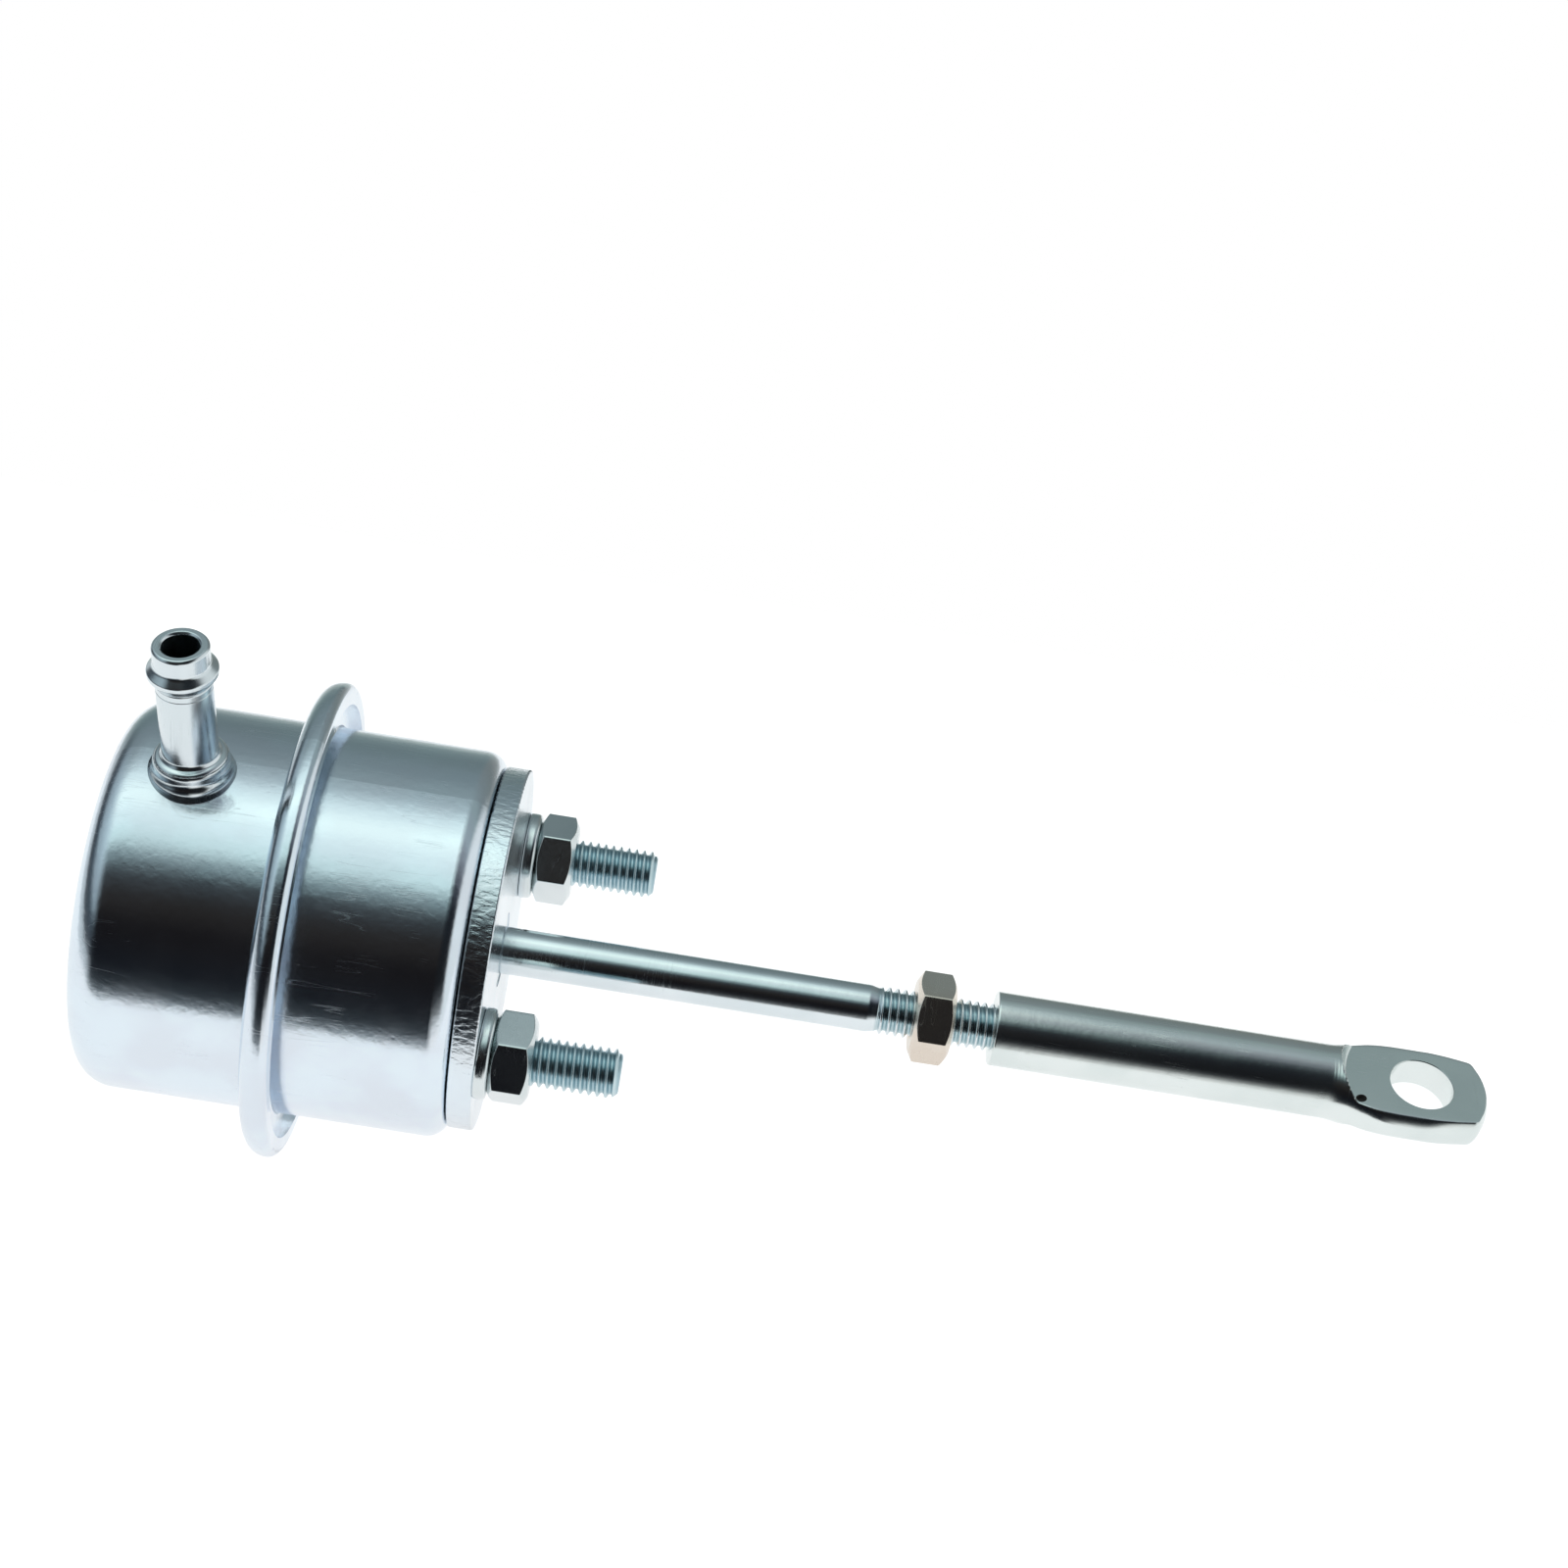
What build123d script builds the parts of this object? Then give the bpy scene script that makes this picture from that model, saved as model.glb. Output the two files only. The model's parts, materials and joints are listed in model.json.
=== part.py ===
from build123d import *
import math
import os

# Diaphragm actuator with a push rod, fixed by two studs.
# Millimetres. The origin is on the rod's axis at the front face of the mounting plate.
# +X runs along the rod to its eye, +Z points to the hose nipple's side, the studs lie on +Y and -Y.

# Mounting plate and studs
plate_inset = 1.5
plate_thickness = 3.0
plate_edge_break = 0.25
plate_hole_diameter = 9.3
stud_edge_distance = 5.0
stud_reach = 17.0
knurl_height = 0.5
thread_diameter = 6.0
thread_pitch = 1.0
thread_chamfer = 0.7
washer_diameter = 11.0
washer_thickness = 1.6
washer_edge_break = 0.15
nut_flats = 10.0
nut_height = 4.9
nut_bevel_angle = 30.0
nut_face_margin = 0.25
right_nut_corner = 48.6
left_nut_corner = 0.4
lock_nut_corner = 47.6

# Pressed cans, folded together at the rim
can_diameter = 48.0
can_wall = 1.0
front_can_depth = 20.0
rear_can_depth = 22.0
front_corner_bend = 1.7
rear_corner_bend = 3.5
root_bend = 0.3
rim_reach = 5.5
rim_rear_bend = 1.4
rim_front_bend = 0.1
hem_width = 2.5

# Hose nipple, brazed off centre into the rear can
nipple_inset = 10.5
nipple_offset = -2.25
nipple_lean = 4.2
nipple_length = 18.5
nipple_diameter = 6.62
nipple_wall = 1.16
nipple_mouth_break = 0.25
nipple_spigot_depth = 2.0
bead_rise = 0.815
bead_setback = 3.35
bead_width = 0.6
bead_front_taper = 0.85
bead_rear_taper = 1.1
collar_rise = 1.19
collar_height = 2.5
collar_foot_spread = 0.625
collar_foot_height = 0.8
collar_edge_round = 0.5

# Diaphragm, piston and the parts clamped on the rod's rear end
diaphragm_thickness = 0.6
roll_width = 4.5
roll_lead = 4.5
piston_wall = 1.0
piston_depth = 22.5
piston_bend = 1.0
rest_gap = 0.3
rod_head_overhang = 1.5
rod_head_thickness = 1.2
rod_shoulder_width = 0.45
retainer_inset = 3.5
retainer_thickness = 1.0
retainer_edge_round = 0.4
piston_washer_diameter = 18.0
piston_washer_thickness = 1.2
piston_washer_edge_break = 0.2

# Return spring and its seat
spring_wire = 2.6
spring_clearance = 1.7
spring_turns = 5
closed_turn_rise = 1.04
seat_lip = 1.0
seat_wall = 1.0
seat_bend = 0.3
seat_collar_height = 5.0
seat_clearance = 0.1

# Guide bush and its cap
bush_wall = 2.5
bush_length = 6.0
bush_edge_break = 0.3
cap_wall = 1.0
cap_bend = 0.4
cap_flange_reach = 1.0
cap_opening_clearance = 0.75

# Push rod
rod_diameter = 5.9
shank_reach = 46.0
lock_nut_lead = 5.4

# Rod end: threaded sleeve with a flattened eye
rod_end_gap = 5.2
thread_engagement = 26.5
adjusting_room = 9.5
sleeve_diameter = 9.3
sleeve_length = 43.0
sleeve_edge_break = 0.4
step_length = 1.1
eye_offset = 10.9
eye_bore = 8.0
eye_bore_break = 0.25
eye_thickness = 4.2
eye_width = 12.9
eye_corner_inset = 1.05
eye_corner_lead = 6.9
eye_end_bulge = 1.7
eye_root_inset = 0.3
eye_flare_start = 1.2
eye_flare_slope = 0.38
eye_flare_lead = 2.4
eye_corner_round = 0.7
eye_edge_round = 0.35
pit_diameter = 1.1
pit_depth = 0.3
pit_setback = 8.0
pit_side = -4.0

# Clearances
press_clearance = 0.02
running_clearance = 0.05
thread_clearance = 0.05
sliding_clearance = 0.05
neck_clearance = 0.1
washer_clearance = 0.2

# Radii
can_radius = can_diameter / 2
can_inner_radius = can_radius - can_wall
rim_radius = can_radius + rim_reach
flange_radius = rim_radius - can_wall - rim_rear_bend / 2
plate_radius = can_radius - plate_inset
stud_spacing = 2 * (plate_radius - stud_edge_distance)
rod_radius = rod_diameter / 2
thread_radius = thread_diameter / 2
knurl_radius = thread_radius + knurl_height
neck_radius = thread_radius - 0.325 * thread_pitch
thread_bore_radius = neck_radius + thread_clearance
stub_radius = rod_radius - rod_shoulder_width
stub_hole_radius = stub_radius + press_clearance
rod_head_radius = stub_radius + rod_head_overhang
piston_radius = can_inner_radius - roll_width
retainer_radius = piston_radius - retainer_inset
spring_radius = piston_radius - piston_wall - spring_clearance - spring_wire / 2
bush_radius = rod_radius + running_clearance + bush_wall
nipple_radius = nipple_diameter / 2
bead_radius = nipple_radius + bead_rise
collar_radius = nipple_radius + collar_rise
collar_foot_radius = collar_radius + collar_foot_spread
sleeve_radius = sleeve_diameter / 2

# Stations along the rod's axis, from the plate backwards
front_can_face = -plate_thickness
front_can_inside = front_can_face - can_wall
hem_front = front_can_face - front_can_depth
front_flange_front = hem_front - can_wall
clamp_front = front_flange_front - can_wall
clamp_rear = clamp_front - diaphragm_thickness
rim_rear = clamp_rear - can_wall
can_back = rim_rear - rear_can_depth
can_back_inside = can_back + can_wall

# Stations of the stack on the rod's rear end, from the can's back forwards
rod_head_rear = can_back_inside + rest_gap
retainer_rear = rod_head_rear + rod_head_thickness
retainer_front = retainer_rear + retainer_thickness
piston_crown_rear = retainer_front + diaphragm_thickness
piston_crown_front = piston_crown_rear + piston_wall
rod_shoulder = piston_crown_front + piston_washer_thickness
piston_skirt_front = piston_crown_rear + piston_depth
roll_crest = clamp_front + roll_lead

# Stations on the rod's front, from its thread's start forwards
lock_nut_reach = shank_reach + lock_nut_lead
lock_nut_front = lock_nut_reach + nut_height
rod_end_reach = lock_nut_front + rod_end_gap
rod_tip_reach = rod_end_reach + thread_engagement
sleeve_front = rod_end_reach + sleeve_length
eye_centre = sleeve_front + eye_offset

os.makedirs("parts", exist_ok=True)


def line_profile(*points):
    """Closed straight-sided section in the current sketch, points as (station, radius)."""
    with BuildLine() as outline:
        Polyline(*points, close=True)
    make_face(outline.edges())


def sheet_profile(points, bends, wall, side):
    """Section of a pressed sheet with square corners, in the current sketch.

    One face runs through points with the radii in bends, the other lies a wall away on the side
    (1 is left, -1 is right). A corner of the far face is the near one moved along both its normals,
    and its radius is a wall smaller where the sheet turns to that side, else a wall larger.
    """
    runs = [Vector(*end) - Vector(*start) for start, end in zip(points, points[1:])]
    normals = [Vector(-run.Y, run.X).normalized() * wall * side for run in runs]
    shifts = [normals[0], *[before + after for before, after in zip(normals, normals[1:])], normals[-1]]
    far_points = [Vector(*point) + shift for point, shift in zip(points, shifts)]
    turns = [math.copysign(1, before.cross(after).Z) for before, after in zip(runs, runs[1:])]
    far_bends = [bend - wall * side * turn for bend, turn in zip(bends, turns)]
    with BuildLine() as outline:
        FilletPolyline(*points, radius=bends)
        FilletPolyline(*far_points, radius=far_bends)
        Line(points[0], far_points[0])
        Line(points[-1], far_points[-1])
    make_face(outline.edges())


# Mounting plate: sheared disc with the rod's hole and two stud holes
with BuildPart() as mounting_plate:
    with BuildSketch(Plane.YZ.offset(front_can_face)):
        Circle(plate_radius)
        Circle(plate_hole_diameter / 2, mode=Mode.SUBTRACT)
        with GridLocations(stud_spacing, 0, 2, 1):
            Circle(knurl_radius + press_clearance, mode=Mode.SUBTRACT)
    extrude(amount=plate_thickness)
    plate_rims = mounting_plate.edges().filter_by(
        lambda edge: edge.geom_type == GeomType.CIRCLE and abs(edge.radius - plate_radius) < 0.001
    )
    fillet(plate_rims, plate_edge_break)
mounting_plate.part.label = "mounting_plate"
export_step(mounting_plate.part, "parts/mounting_plate.step")


def hex_nut(seat, centre_y, corner_angle):
    """Hexagon nut on the X axis shifted to centre_y, its rear face at station seat."""
    axis = Axis((0, centre_y, 0), (1, 0, 0))
    profile_plane = Plane(origin=(seat, centre_y, 0))
    corner_radius = nut_flats / 2 / math.cos(math.radians(30))
    face_radius = nut_flats / 2 - nut_face_margin
    bevel = (corner_radius - face_radius) * math.tan(math.radians(nut_bevel_angle))
    thread_break = thread_radius - thread_bore_radius
    with BuildPart() as nut:
        with BuildSketch(Plane.YZ.offset(seat)):
            with Locations((centre_y, 0)):
                RegularPolygon(nut_flats / 2, 6, major_radius=False, rotation=corner_angle)
        extrude(amount=nut_height)
        with BuildSketch(profile_plane):
            line_profile(
                (0, 0),
                (0, face_radius),
                (bevel, corner_radius),
                (nut_height - bevel, corner_radius),
                (nut_height, face_radius),
                (nut_height, 0),
            )
        revolve(axis=axis, mode=Mode.INTERSECT)
        with BuildSketch(profile_plane):
            line_profile(
                (0, 0),
                (0, thread_radius),
                (thread_break, thread_bore_radius),
                (nut_height - thread_break, thread_bore_radius),
                (nut_height, thread_radius),
                (nut_height, 0),
            )
        revolve(axis=axis, mode=Mode.SUBTRACT)
    return nut.part


# Studs with their washers and nuts, left and right as seen from the rod's side
nut_seat = washer_thickness
nut_front = nut_seat + nut_height
for side, centre_y, corner_angle in (
    ("left", -stud_spacing / 2, left_nut_corner),
    ("right", stud_spacing / 2, right_nut_corner),
):
    stud_axis = Axis((0, centre_y, 0), (1, 0, 0))
    stud_plane = Plane(origin=(0, centre_y, 0))

    # Stud: knurled root pressed into the plate, neck at the thread's pitch diameter, free thread
    with BuildPart() as stud:
        with BuildSketch(stud_plane):
            line_profile(
                (front_can_face, 0),
                (front_can_face, knurl_radius),
                (0, knurl_radius),
                (0, neck_radius),
                (nut_front, neck_radius),
                (nut_front, thread_radius),
                (stud_reach - thread_chamfer, thread_radius),
                (stud_reach, thread_radius - thread_chamfer),
                (stud_reach, 0),
            )
        revolve(axis=stud_axis)
    stud.part.label = f"stud_{side}"
    export_step(stud.part, f"parts/stud_{side}.step")

    # Washer, flat on the plate
    with BuildPart() as washer:
        with BuildSketch(Plane.YZ):
            with Locations((centre_y, 0)):
                Circle(washer_diameter / 2)
                Circle(thread_radius + washer_clearance, mode=Mode.SUBTRACT)
        extrude(amount=washer_thickness)
        chamfer(washer.edges().filter_by(GeomType.CIRCLE), washer_edge_break)
    washer.part.label = f"washer_{side}"
    export_step(washer.part, f"parts/washer_{side}.step")

    # Nut
    stud_nut = hex_nut(nut_seat, centre_y, corner_angle)
    stud_nut.label = f"nut_{side}"
    export_step(stud_nut, f"parts/nut_{side}.step")

# Front can: drawn cup against the plate, its flange under the rear can's hem
with BuildPart() as front_can:
    with BuildSketch(Plane.XZ):
        sheet_profile(
            [
                (front_can_face, plate_hole_diameter / 2),
                (front_can_face, can_radius),
                (front_flange_front, can_radius),
                (front_flange_front, flange_radius),
            ],
            [front_corner_bend + can_wall, root_bend],
            can_wall,
            1,
        )
    revolve(axis=Axis.X)
front_can.part.label = "front_can"
export_step(front_can.part, "parts/front_can.step")

# The nipple's axis leaves the rear can's surface here, leaning to the rear
lean = math.radians(nipple_lean)
nipple_height = math.sqrt(can_radius**2 - nipple_offset**2)
nipple_root = (can_back + nipple_inset, nipple_offset, nipple_height)
nipple_plane = Plane(
    origin=nipple_root,
    x_dir=(math.cos(lean), 0, math.sin(lean)),
    z_dir=(-math.sin(lean), 0, math.cos(lean)),
)
nipple_profile_plane = Plane(
    origin=nipple_root,
    x_dir=(math.cos(lean), 0, math.sin(lean)),
    z_dir=(0, -1, 0),
)
nipple_axis = Axis(nipple_root, (-math.sin(lean), 0, math.cos(lean)))
spigot_hole_depth = nipple_spigot_depth + can_wall

# Rear can: drawn cup, its rim folded forwards and in over the front can's flange
with BuildPart() as rear_can:
    with BuildSketch(Plane.XZ):
        sheet_profile(
            [
                (can_back, 0),
                (can_back, can_radius),
                (rim_rear, can_radius),
                (rim_rear, rim_radius),
                (hem_front, rim_radius),
                (hem_front, rim_radius - hem_width),
            ],
            [
                rear_corner_bend + can_wall,
                root_bend,
                rim_rear_bend + can_wall,
                rim_front_bend + can_wall,
            ],
            can_wall,
            -1,
        )
    revolve(axis=Axis.X)
    with BuildSketch(nipple_plane.offset(-spigot_hole_depth)):
        Circle(nipple_radius + press_clearance)
    extrude(amount=2 * spigot_hole_depth, mode=Mode.SUBTRACT)
rear_can.part.label = "rear_can"
export_step(rear_can.part, "parts/rear_can.step")

# Hose nipple: turned tube with a bead behind its mouth and a collar saddled on the can
with BuildPart() as hose_nipple:
    with BuildSketch(nipple_profile_plane):
        line_profile(
            (0, -nipple_spigot_depth),
            (collar_foot_radius, -nipple_spigot_depth),
            (collar_foot_radius, 0),
            (collar_radius, collar_foot_height),
            (collar_radius, collar_height - collar_edge_round),
            (collar_radius - collar_edge_round, collar_height),
            (0, collar_height),
        )
    revolve(axis=nipple_axis)
    with Locations((nipple_root[0], 0, 0)):
        Cylinder(
            can_radius + press_clearance,
            4 * collar_foot_radius,
            rotation=(0, 90, 0),
            mode=Mode.SUBTRACT,
        )
    bead_front = nipple_length - bead_setback
    bead_rear = bead_front - bead_width
    with BuildSketch(nipple_profile_plane):
        line_profile(
            (0, -nipple_spigot_depth),
            (nipple_radius, -nipple_spigot_depth),
            (nipple_radius, bead_rear - bead_rear_taper),
            (bead_radius, bead_rear),
            (bead_radius, bead_front),
            (nipple_radius, bead_front + bead_front_taper),
            (nipple_radius, nipple_length - nipple_mouth_break),
            (nipple_radius - nipple_mouth_break, nipple_length),
            (0, nipple_length),
        )
    revolve(axis=nipple_axis)
    with BuildSketch(nipple_plane.offset(-nipple_spigot_depth)):
        Circle(nipple_radius - nipple_wall)
    extrude(amount=nipple_spigot_depth + nipple_length, mode=Mode.SUBTRACT)
hose_nipple.part.label = "hose_nipple"
export_step(hose_nipple.part, "parts/hose_nipple.step")

# Rolling diaphragm: clamped in the rim, rolled forwards along the wall and back over the piston
diaphragm_skirt_radius = piston_radius + sliding_clearance
diaphragm_wall_radius = can_inner_radius - sliding_clearance
crest_bend = (diaphragm_wall_radius - diaphragm_skirt_radius) / 2 - sliding_clearance
with BuildPart() as diaphragm:
    with BuildSketch(Plane.XZ):
        sheet_profile(
            [
                (piston_crown_rear, stub_hole_radius),
                (piston_crown_rear, diaphragm_skirt_radius),
                (roll_crest, diaphragm_skirt_radius),
                (roll_crest, diaphragm_wall_radius),
                (clamp_front, diaphragm_wall_radius),
                (clamp_front, rim_radius - can_wall - rim_rear_bend),
            ],
            [
                piston_bend + piston_wall + sliding_clearance,
                crest_bend,
                crest_bend,
                root_bend + can_wall + sliding_clearance,
            ],
            diaphragm_thickness,
            1,
        )
    revolve(axis=Axis.X)
diaphragm.part.label = "diaphragm"
export_step(diaphragm.part, "parts/diaphragm.step")

# Piston: drawn cup that backs the diaphragm and takes the spring's load
with BuildPart() as piston:
    with BuildSketch(Plane.XZ):
        sheet_profile(
            [
                (piston_crown_rear, stub_hole_radius),
                (piston_crown_rear, piston_radius),
                (piston_skirt_front, piston_radius),
            ],
            [piston_bend + piston_wall],
            piston_wall,
            -1,
        )
    revolve(axis=Axis.X)
piston.part.label = "piston"
export_step(piston.part, "parts/piston.step")

# Retainer plate: clamps the diaphragm's centre from behind
with BuildPart() as retainer_plate:
    with BuildSketch(Plane.YZ.offset(retainer_rear)):
        Circle(retainer_radius)
        Circle(stub_hole_radius, mode=Mode.SUBTRACT)
    extrude(amount=retainer_thickness)
    retainer_rims = retainer_plate.edges().filter_by(
        lambda edge: edge.geom_type == GeomType.CIRCLE and edge.radius > retainer_radius / 2
    )
    fillet(retainer_rims, retainer_edge_round)
retainer_plate.part.label = "retainer_plate"
export_step(retainer_plate.part, "parts/retainer_plate.step")

# Piston washer: between the piston's crown and the rod's shoulder
with BuildPart() as piston_washer:
    with BuildSketch(Plane.YZ.offset(piston_crown_front)):
        Circle(piston_washer_diameter / 2)
        Circle(stub_hole_radius, mode=Mode.SUBTRACT)
    extrude(amount=piston_washer_thickness)
    chamfer(piston_washer.edges().filter_by(GeomType.CIRCLE), piston_washer_edge_break)
piston_washer.part.label = "piston_washer"
export_step(piston_washer.part, "parts/piston_washer.step")

# Spring seat: pressed ring inside the front can, its collar centres the spring
seat_collar_radius = spring_radius - spring_wire / 2 - seat_bend - seat_clearance
seat_rear = front_can_inside - seat_wall
with BuildPart() as spring_seat:
    with BuildSketch(Plane.XZ):
        sheet_profile(
            [
                (front_can_inside - seat_collar_height, seat_collar_radius),
                (seat_rear, seat_collar_radius),
                (seat_rear, spring_radius + spring_wire / 2 + seat_lip),
            ],
            [seat_bend],
            seat_wall,
            -1,
        )
    revolve(axis=Axis.X)
spring_seat.part.label = "spring_seat"
export_step(spring_seat.part, "parts/spring_seat.step")

# Return spring: open coils between two closed end turns, ground flat on both ends
spring_length = seat_rear - piston_crown_front
closed_rise = closed_turn_rise * spring_wire
open_length = spring_length - 2 * closed_rise
spring_origin = (piston_crown_front, 0, 0)
with BuildPart() as return_spring:
    with BuildLine():
        rear_turn = Helix(closed_rise, closed_rise, spring_radius, spring_origin, (1, 0, 0))
        open_turns = Helix(
            open_length / spring_turns,
            open_length,
            spring_radius,
            (piston_crown_front + closed_rise, 0, 0),
            (1, 0, 0),
        )
        front_turn = Helix(
            closed_rise,
            closed_rise,
            spring_radius,
            (seat_rear - closed_rise, 0, 0),
            (1, 0, 0),
        )
    with BuildSketch(Plane(origin=rear_turn @ 0, z_dir=rear_turn % 0)):
        Circle(spring_wire / 2)
    sweep(is_frenet=True)
    split(bisect_by=Plane.YZ.offset(piston_crown_front), keep=Keep.TOP)
    split(bisect_by=Plane.YZ.offset(seat_rear), keep=Keep.BOTTOM)
return_spring.part.label = "return_spring"
export_step(return_spring.part, "parts/return_spring.step")

# Guide bush: carries the rod behind the plate's hole
with BuildPart() as guide_bush:
    with BuildSketch(Plane.YZ.offset(front_can_inside)):
        Circle(bush_radius)
        Circle(rod_radius + running_clearance, mode=Mode.SUBTRACT)
    extrude(amount=-bush_length)
    chamfer(guide_bush.edges().filter_by(GeomType.CIRCLE), bush_edge_break)
guide_bush.part.label = "guide_bush"
export_step(guide_bush.part, "parts/guide_bush.step")

# Bush cap: pressed cup welded inside the front can, holds the bush
cap_inner_radius = bush_radius + press_clearance
cap_radius = cap_inner_radius + cap_wall
cap_rear = front_can_inside - bush_length - cap_wall
with BuildPart() as bush_cap:
    with BuildSketch(Plane.XZ):
        sheet_profile(
            [
                (cap_rear, rod_radius + cap_opening_clearance),
                (cap_rear, cap_radius),
                (front_can_inside - cap_wall, cap_radius),
                (front_can_inside - cap_wall, cap_radius + cap_flange_reach),
            ],
            [cap_bend + cap_wall, cap_bend],
            cap_wall,
            -1,
        )
    revolve(axis=Axis.X)
bush_cap.part.label = "bush_cap"
export_step(bush_cap.part, "parts/bush_cap.step")

# Push rod: peened head and stub behind the shoulder, shank, thread necked under its two nuts
with BuildPart() as actuator_rod:
    with BuildSketch(Plane.XZ):
        line_profile(
            (rod_head_rear, 0),
            (rod_head_rear, rod_head_radius - rod_head_thickness / 2),
            (rod_head_rear + rod_head_thickness / 2, rod_head_radius),
            (retainer_rear, rod_head_radius),
            (retainer_rear, stub_radius),
            (rod_shoulder, stub_radius),
            (rod_shoulder, rod_radius),
            (shank_reach, rod_radius),
            (shank_reach, thread_radius),
            (lock_nut_reach - neck_clearance, thread_radius),
            (lock_nut_reach - neck_clearance, neck_radius),
            (lock_nut_front + neck_clearance, neck_radius),
            (lock_nut_front + neck_clearance, thread_radius),
            (rod_end_reach - neck_clearance, thread_radius),
            (rod_end_reach - neck_clearance, neck_radius),
            (rod_tip_reach - thread_chamfer, neck_radius),
            (rod_tip_reach, neck_radius - thread_chamfer),
            (rod_tip_reach, 0),
        )
    revolve(axis=Axis.X)
actuator_rod.part.label = "actuator_rod"
export_step(actuator_rod.part, "parts/actuator_rod.step")

# Lock nut on the rod's thread
lock_nut = hex_nut(lock_nut_reach, 0, lock_nut_corner)
lock_nut.label = "lock_nut"
export_step(lock_nut, "parts/lock_nut.step")

# Rod end: flattened eye that flares and ends in a shallow arc, behind it a steep step and a bored sleeve
eye_root = sleeve_front - sleeve_radius
eye_corner = eye_centre + eye_corner_lead
eye_corner_half_width = eye_width / 2 - eye_corner_inset
eye_root_half_width = math.sqrt(sleeve_radius**2 - (eye_thickness / 2) ** 2) - eye_root_inset
pit_radius = ((pit_diameter / 2) ** 2 + pit_depth**2) / (2 * pit_depth)
with BuildPart() as rod_end:
    with BuildSketch(Plane.XY.offset(-eye_thickness / 2)) as eye_sketch:
        with BuildLine():
            root = Line((eye_root, 0), (eye_root, eye_root_half_width))
            neck = Line(root @ 1, (sleeve_front - eye_flare_start, eye_root_half_width))
            flare = Spline(
                neck @ 1,
                (eye_centre - eye_flare_lead, eye_width / 2),
                tangents=[(1, eye_flare_slope), (1, 0)],
            )
            flank = TangentArc(flare @ 1, (eye_corner, eye_corner_half_width), tangent=(1, 0))
            ThreePointArc(
                flank @ 1,
                (eye_corner + eye_end_bulge, 0),
                (eye_corner, -eye_corner_half_width),
            )
            mirror(root, about=Plane.XZ)
            mirror(neck, about=Plane.XZ)
            mirror(flare, about=Plane.XZ)
            mirror(flank, about=Plane.XZ)
        make_face()
        fillet(eye_sketch.vertices().group_by(Axis.X)[-1], eye_corner_round)
    extrude(amount=eye_thickness)
    eye_faces = rod_end.faces().filter_by(Axis.Z)
    fillet(eye_faces.edges(), eye_edge_round)
    with Locations((eye_centre, 0, 0)):
        Hole(eye_bore / 2)
    bore_rims = rod_end.edges().filter_by(
        lambda edge: edge.geom_type == GeomType.CIRCLE and abs(edge.radius - eye_bore / 2) < 0.001
    )
    chamfer(bore_rims, eye_bore_break)
    with BuildSketch(Plane.XZ):
        line_profile(
            (rod_end_reach, 0),
            (rod_end_reach, sleeve_radius - sleeve_edge_break),
            (rod_end_reach + sleeve_edge_break, sleeve_radius),
            (sleeve_front - sleeve_edge_break, sleeve_radius),
            (sleeve_front, sleeve_radius - sleeve_edge_break),
            (sleeve_front + step_length, eye_thickness / 2),
            (sleeve_front + step_length, 0),
        )
    revolve(axis=Axis.X)
    with BuildSketch(Plane.XZ):
        line_profile(
            (rod_end_reach, 0),
            (rod_end_reach, thread_radius),
            (rod_end_reach + thread_radius - thread_bore_radius, thread_bore_radius),
            (rod_tip_reach + adjusting_room, thread_bore_radius),
            (rod_tip_reach + adjusting_room + thread_bore_radius, 0),
        )
    revolve(axis=Axis.X, mode=Mode.SUBTRACT)
    with Locations((eye_centre - pit_setback, pit_side, eye_thickness / 2 - pit_depth + pit_radius)):
        Sphere(pit_radius, mode=Mode.SUBTRACT)
rod_end.part.label = "rod_end"
export_step(rod_end.part, "parts/rod_end.step")
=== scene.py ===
import json
import math

import bmesh
import bpy
import numpy as np
from mathutils import Matrix


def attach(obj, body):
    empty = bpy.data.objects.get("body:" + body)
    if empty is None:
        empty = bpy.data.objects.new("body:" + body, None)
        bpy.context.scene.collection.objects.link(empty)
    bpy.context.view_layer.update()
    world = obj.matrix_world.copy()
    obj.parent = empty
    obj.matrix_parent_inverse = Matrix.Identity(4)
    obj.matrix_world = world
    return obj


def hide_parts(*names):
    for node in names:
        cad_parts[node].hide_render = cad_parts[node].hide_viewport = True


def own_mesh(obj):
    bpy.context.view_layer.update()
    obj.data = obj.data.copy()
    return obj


# Diaphragm actuator with a push rod, zinc plated, lying on a white table.
# Metres in Blender. The shapes are written in millimetres and scaled by MM.
MM = 0.001
FULL_TURN = 2 * math.pi

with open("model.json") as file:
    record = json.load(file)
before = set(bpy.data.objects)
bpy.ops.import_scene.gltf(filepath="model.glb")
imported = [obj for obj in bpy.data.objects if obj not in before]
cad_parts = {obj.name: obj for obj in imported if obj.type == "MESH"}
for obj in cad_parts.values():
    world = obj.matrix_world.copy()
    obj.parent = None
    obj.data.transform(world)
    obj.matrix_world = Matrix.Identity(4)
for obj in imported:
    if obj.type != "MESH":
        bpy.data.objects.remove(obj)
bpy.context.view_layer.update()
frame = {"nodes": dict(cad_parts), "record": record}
nodes = frame["nodes"]


# Camera

camera_data = bpy.data.cameras.new("camera")
camera_data.sensor_width = 36.0
camera_data.lens = 63.19
camera_data.clip_start = 0.01
camera = bpy.data.objects.new("camera", camera_data)
bpy.context.scene.collection.objects.link(camera)
camera_right = (0.98673, 0.08344, 0.13929)
camera_up = (-0.15975, 0.65237, 0.74087)
camera_back = (-0.02905, -0.75330, 0.65704)
camera_place = (0.02113, -0.24021, 0.24374)
camera_turn = Matrix((camera_right, camera_up, camera_back)).transposed()
camera.matrix_world = Matrix.Translation(camera_place) @ camera_turn.to_4x4()
bpy.context.scene.camera = camera
bpy.context.scene.view_settings.view_transform = "Standard"


# Studio: a dark side behind the camera, a broad soft light above, a grey room beyond the table

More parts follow.
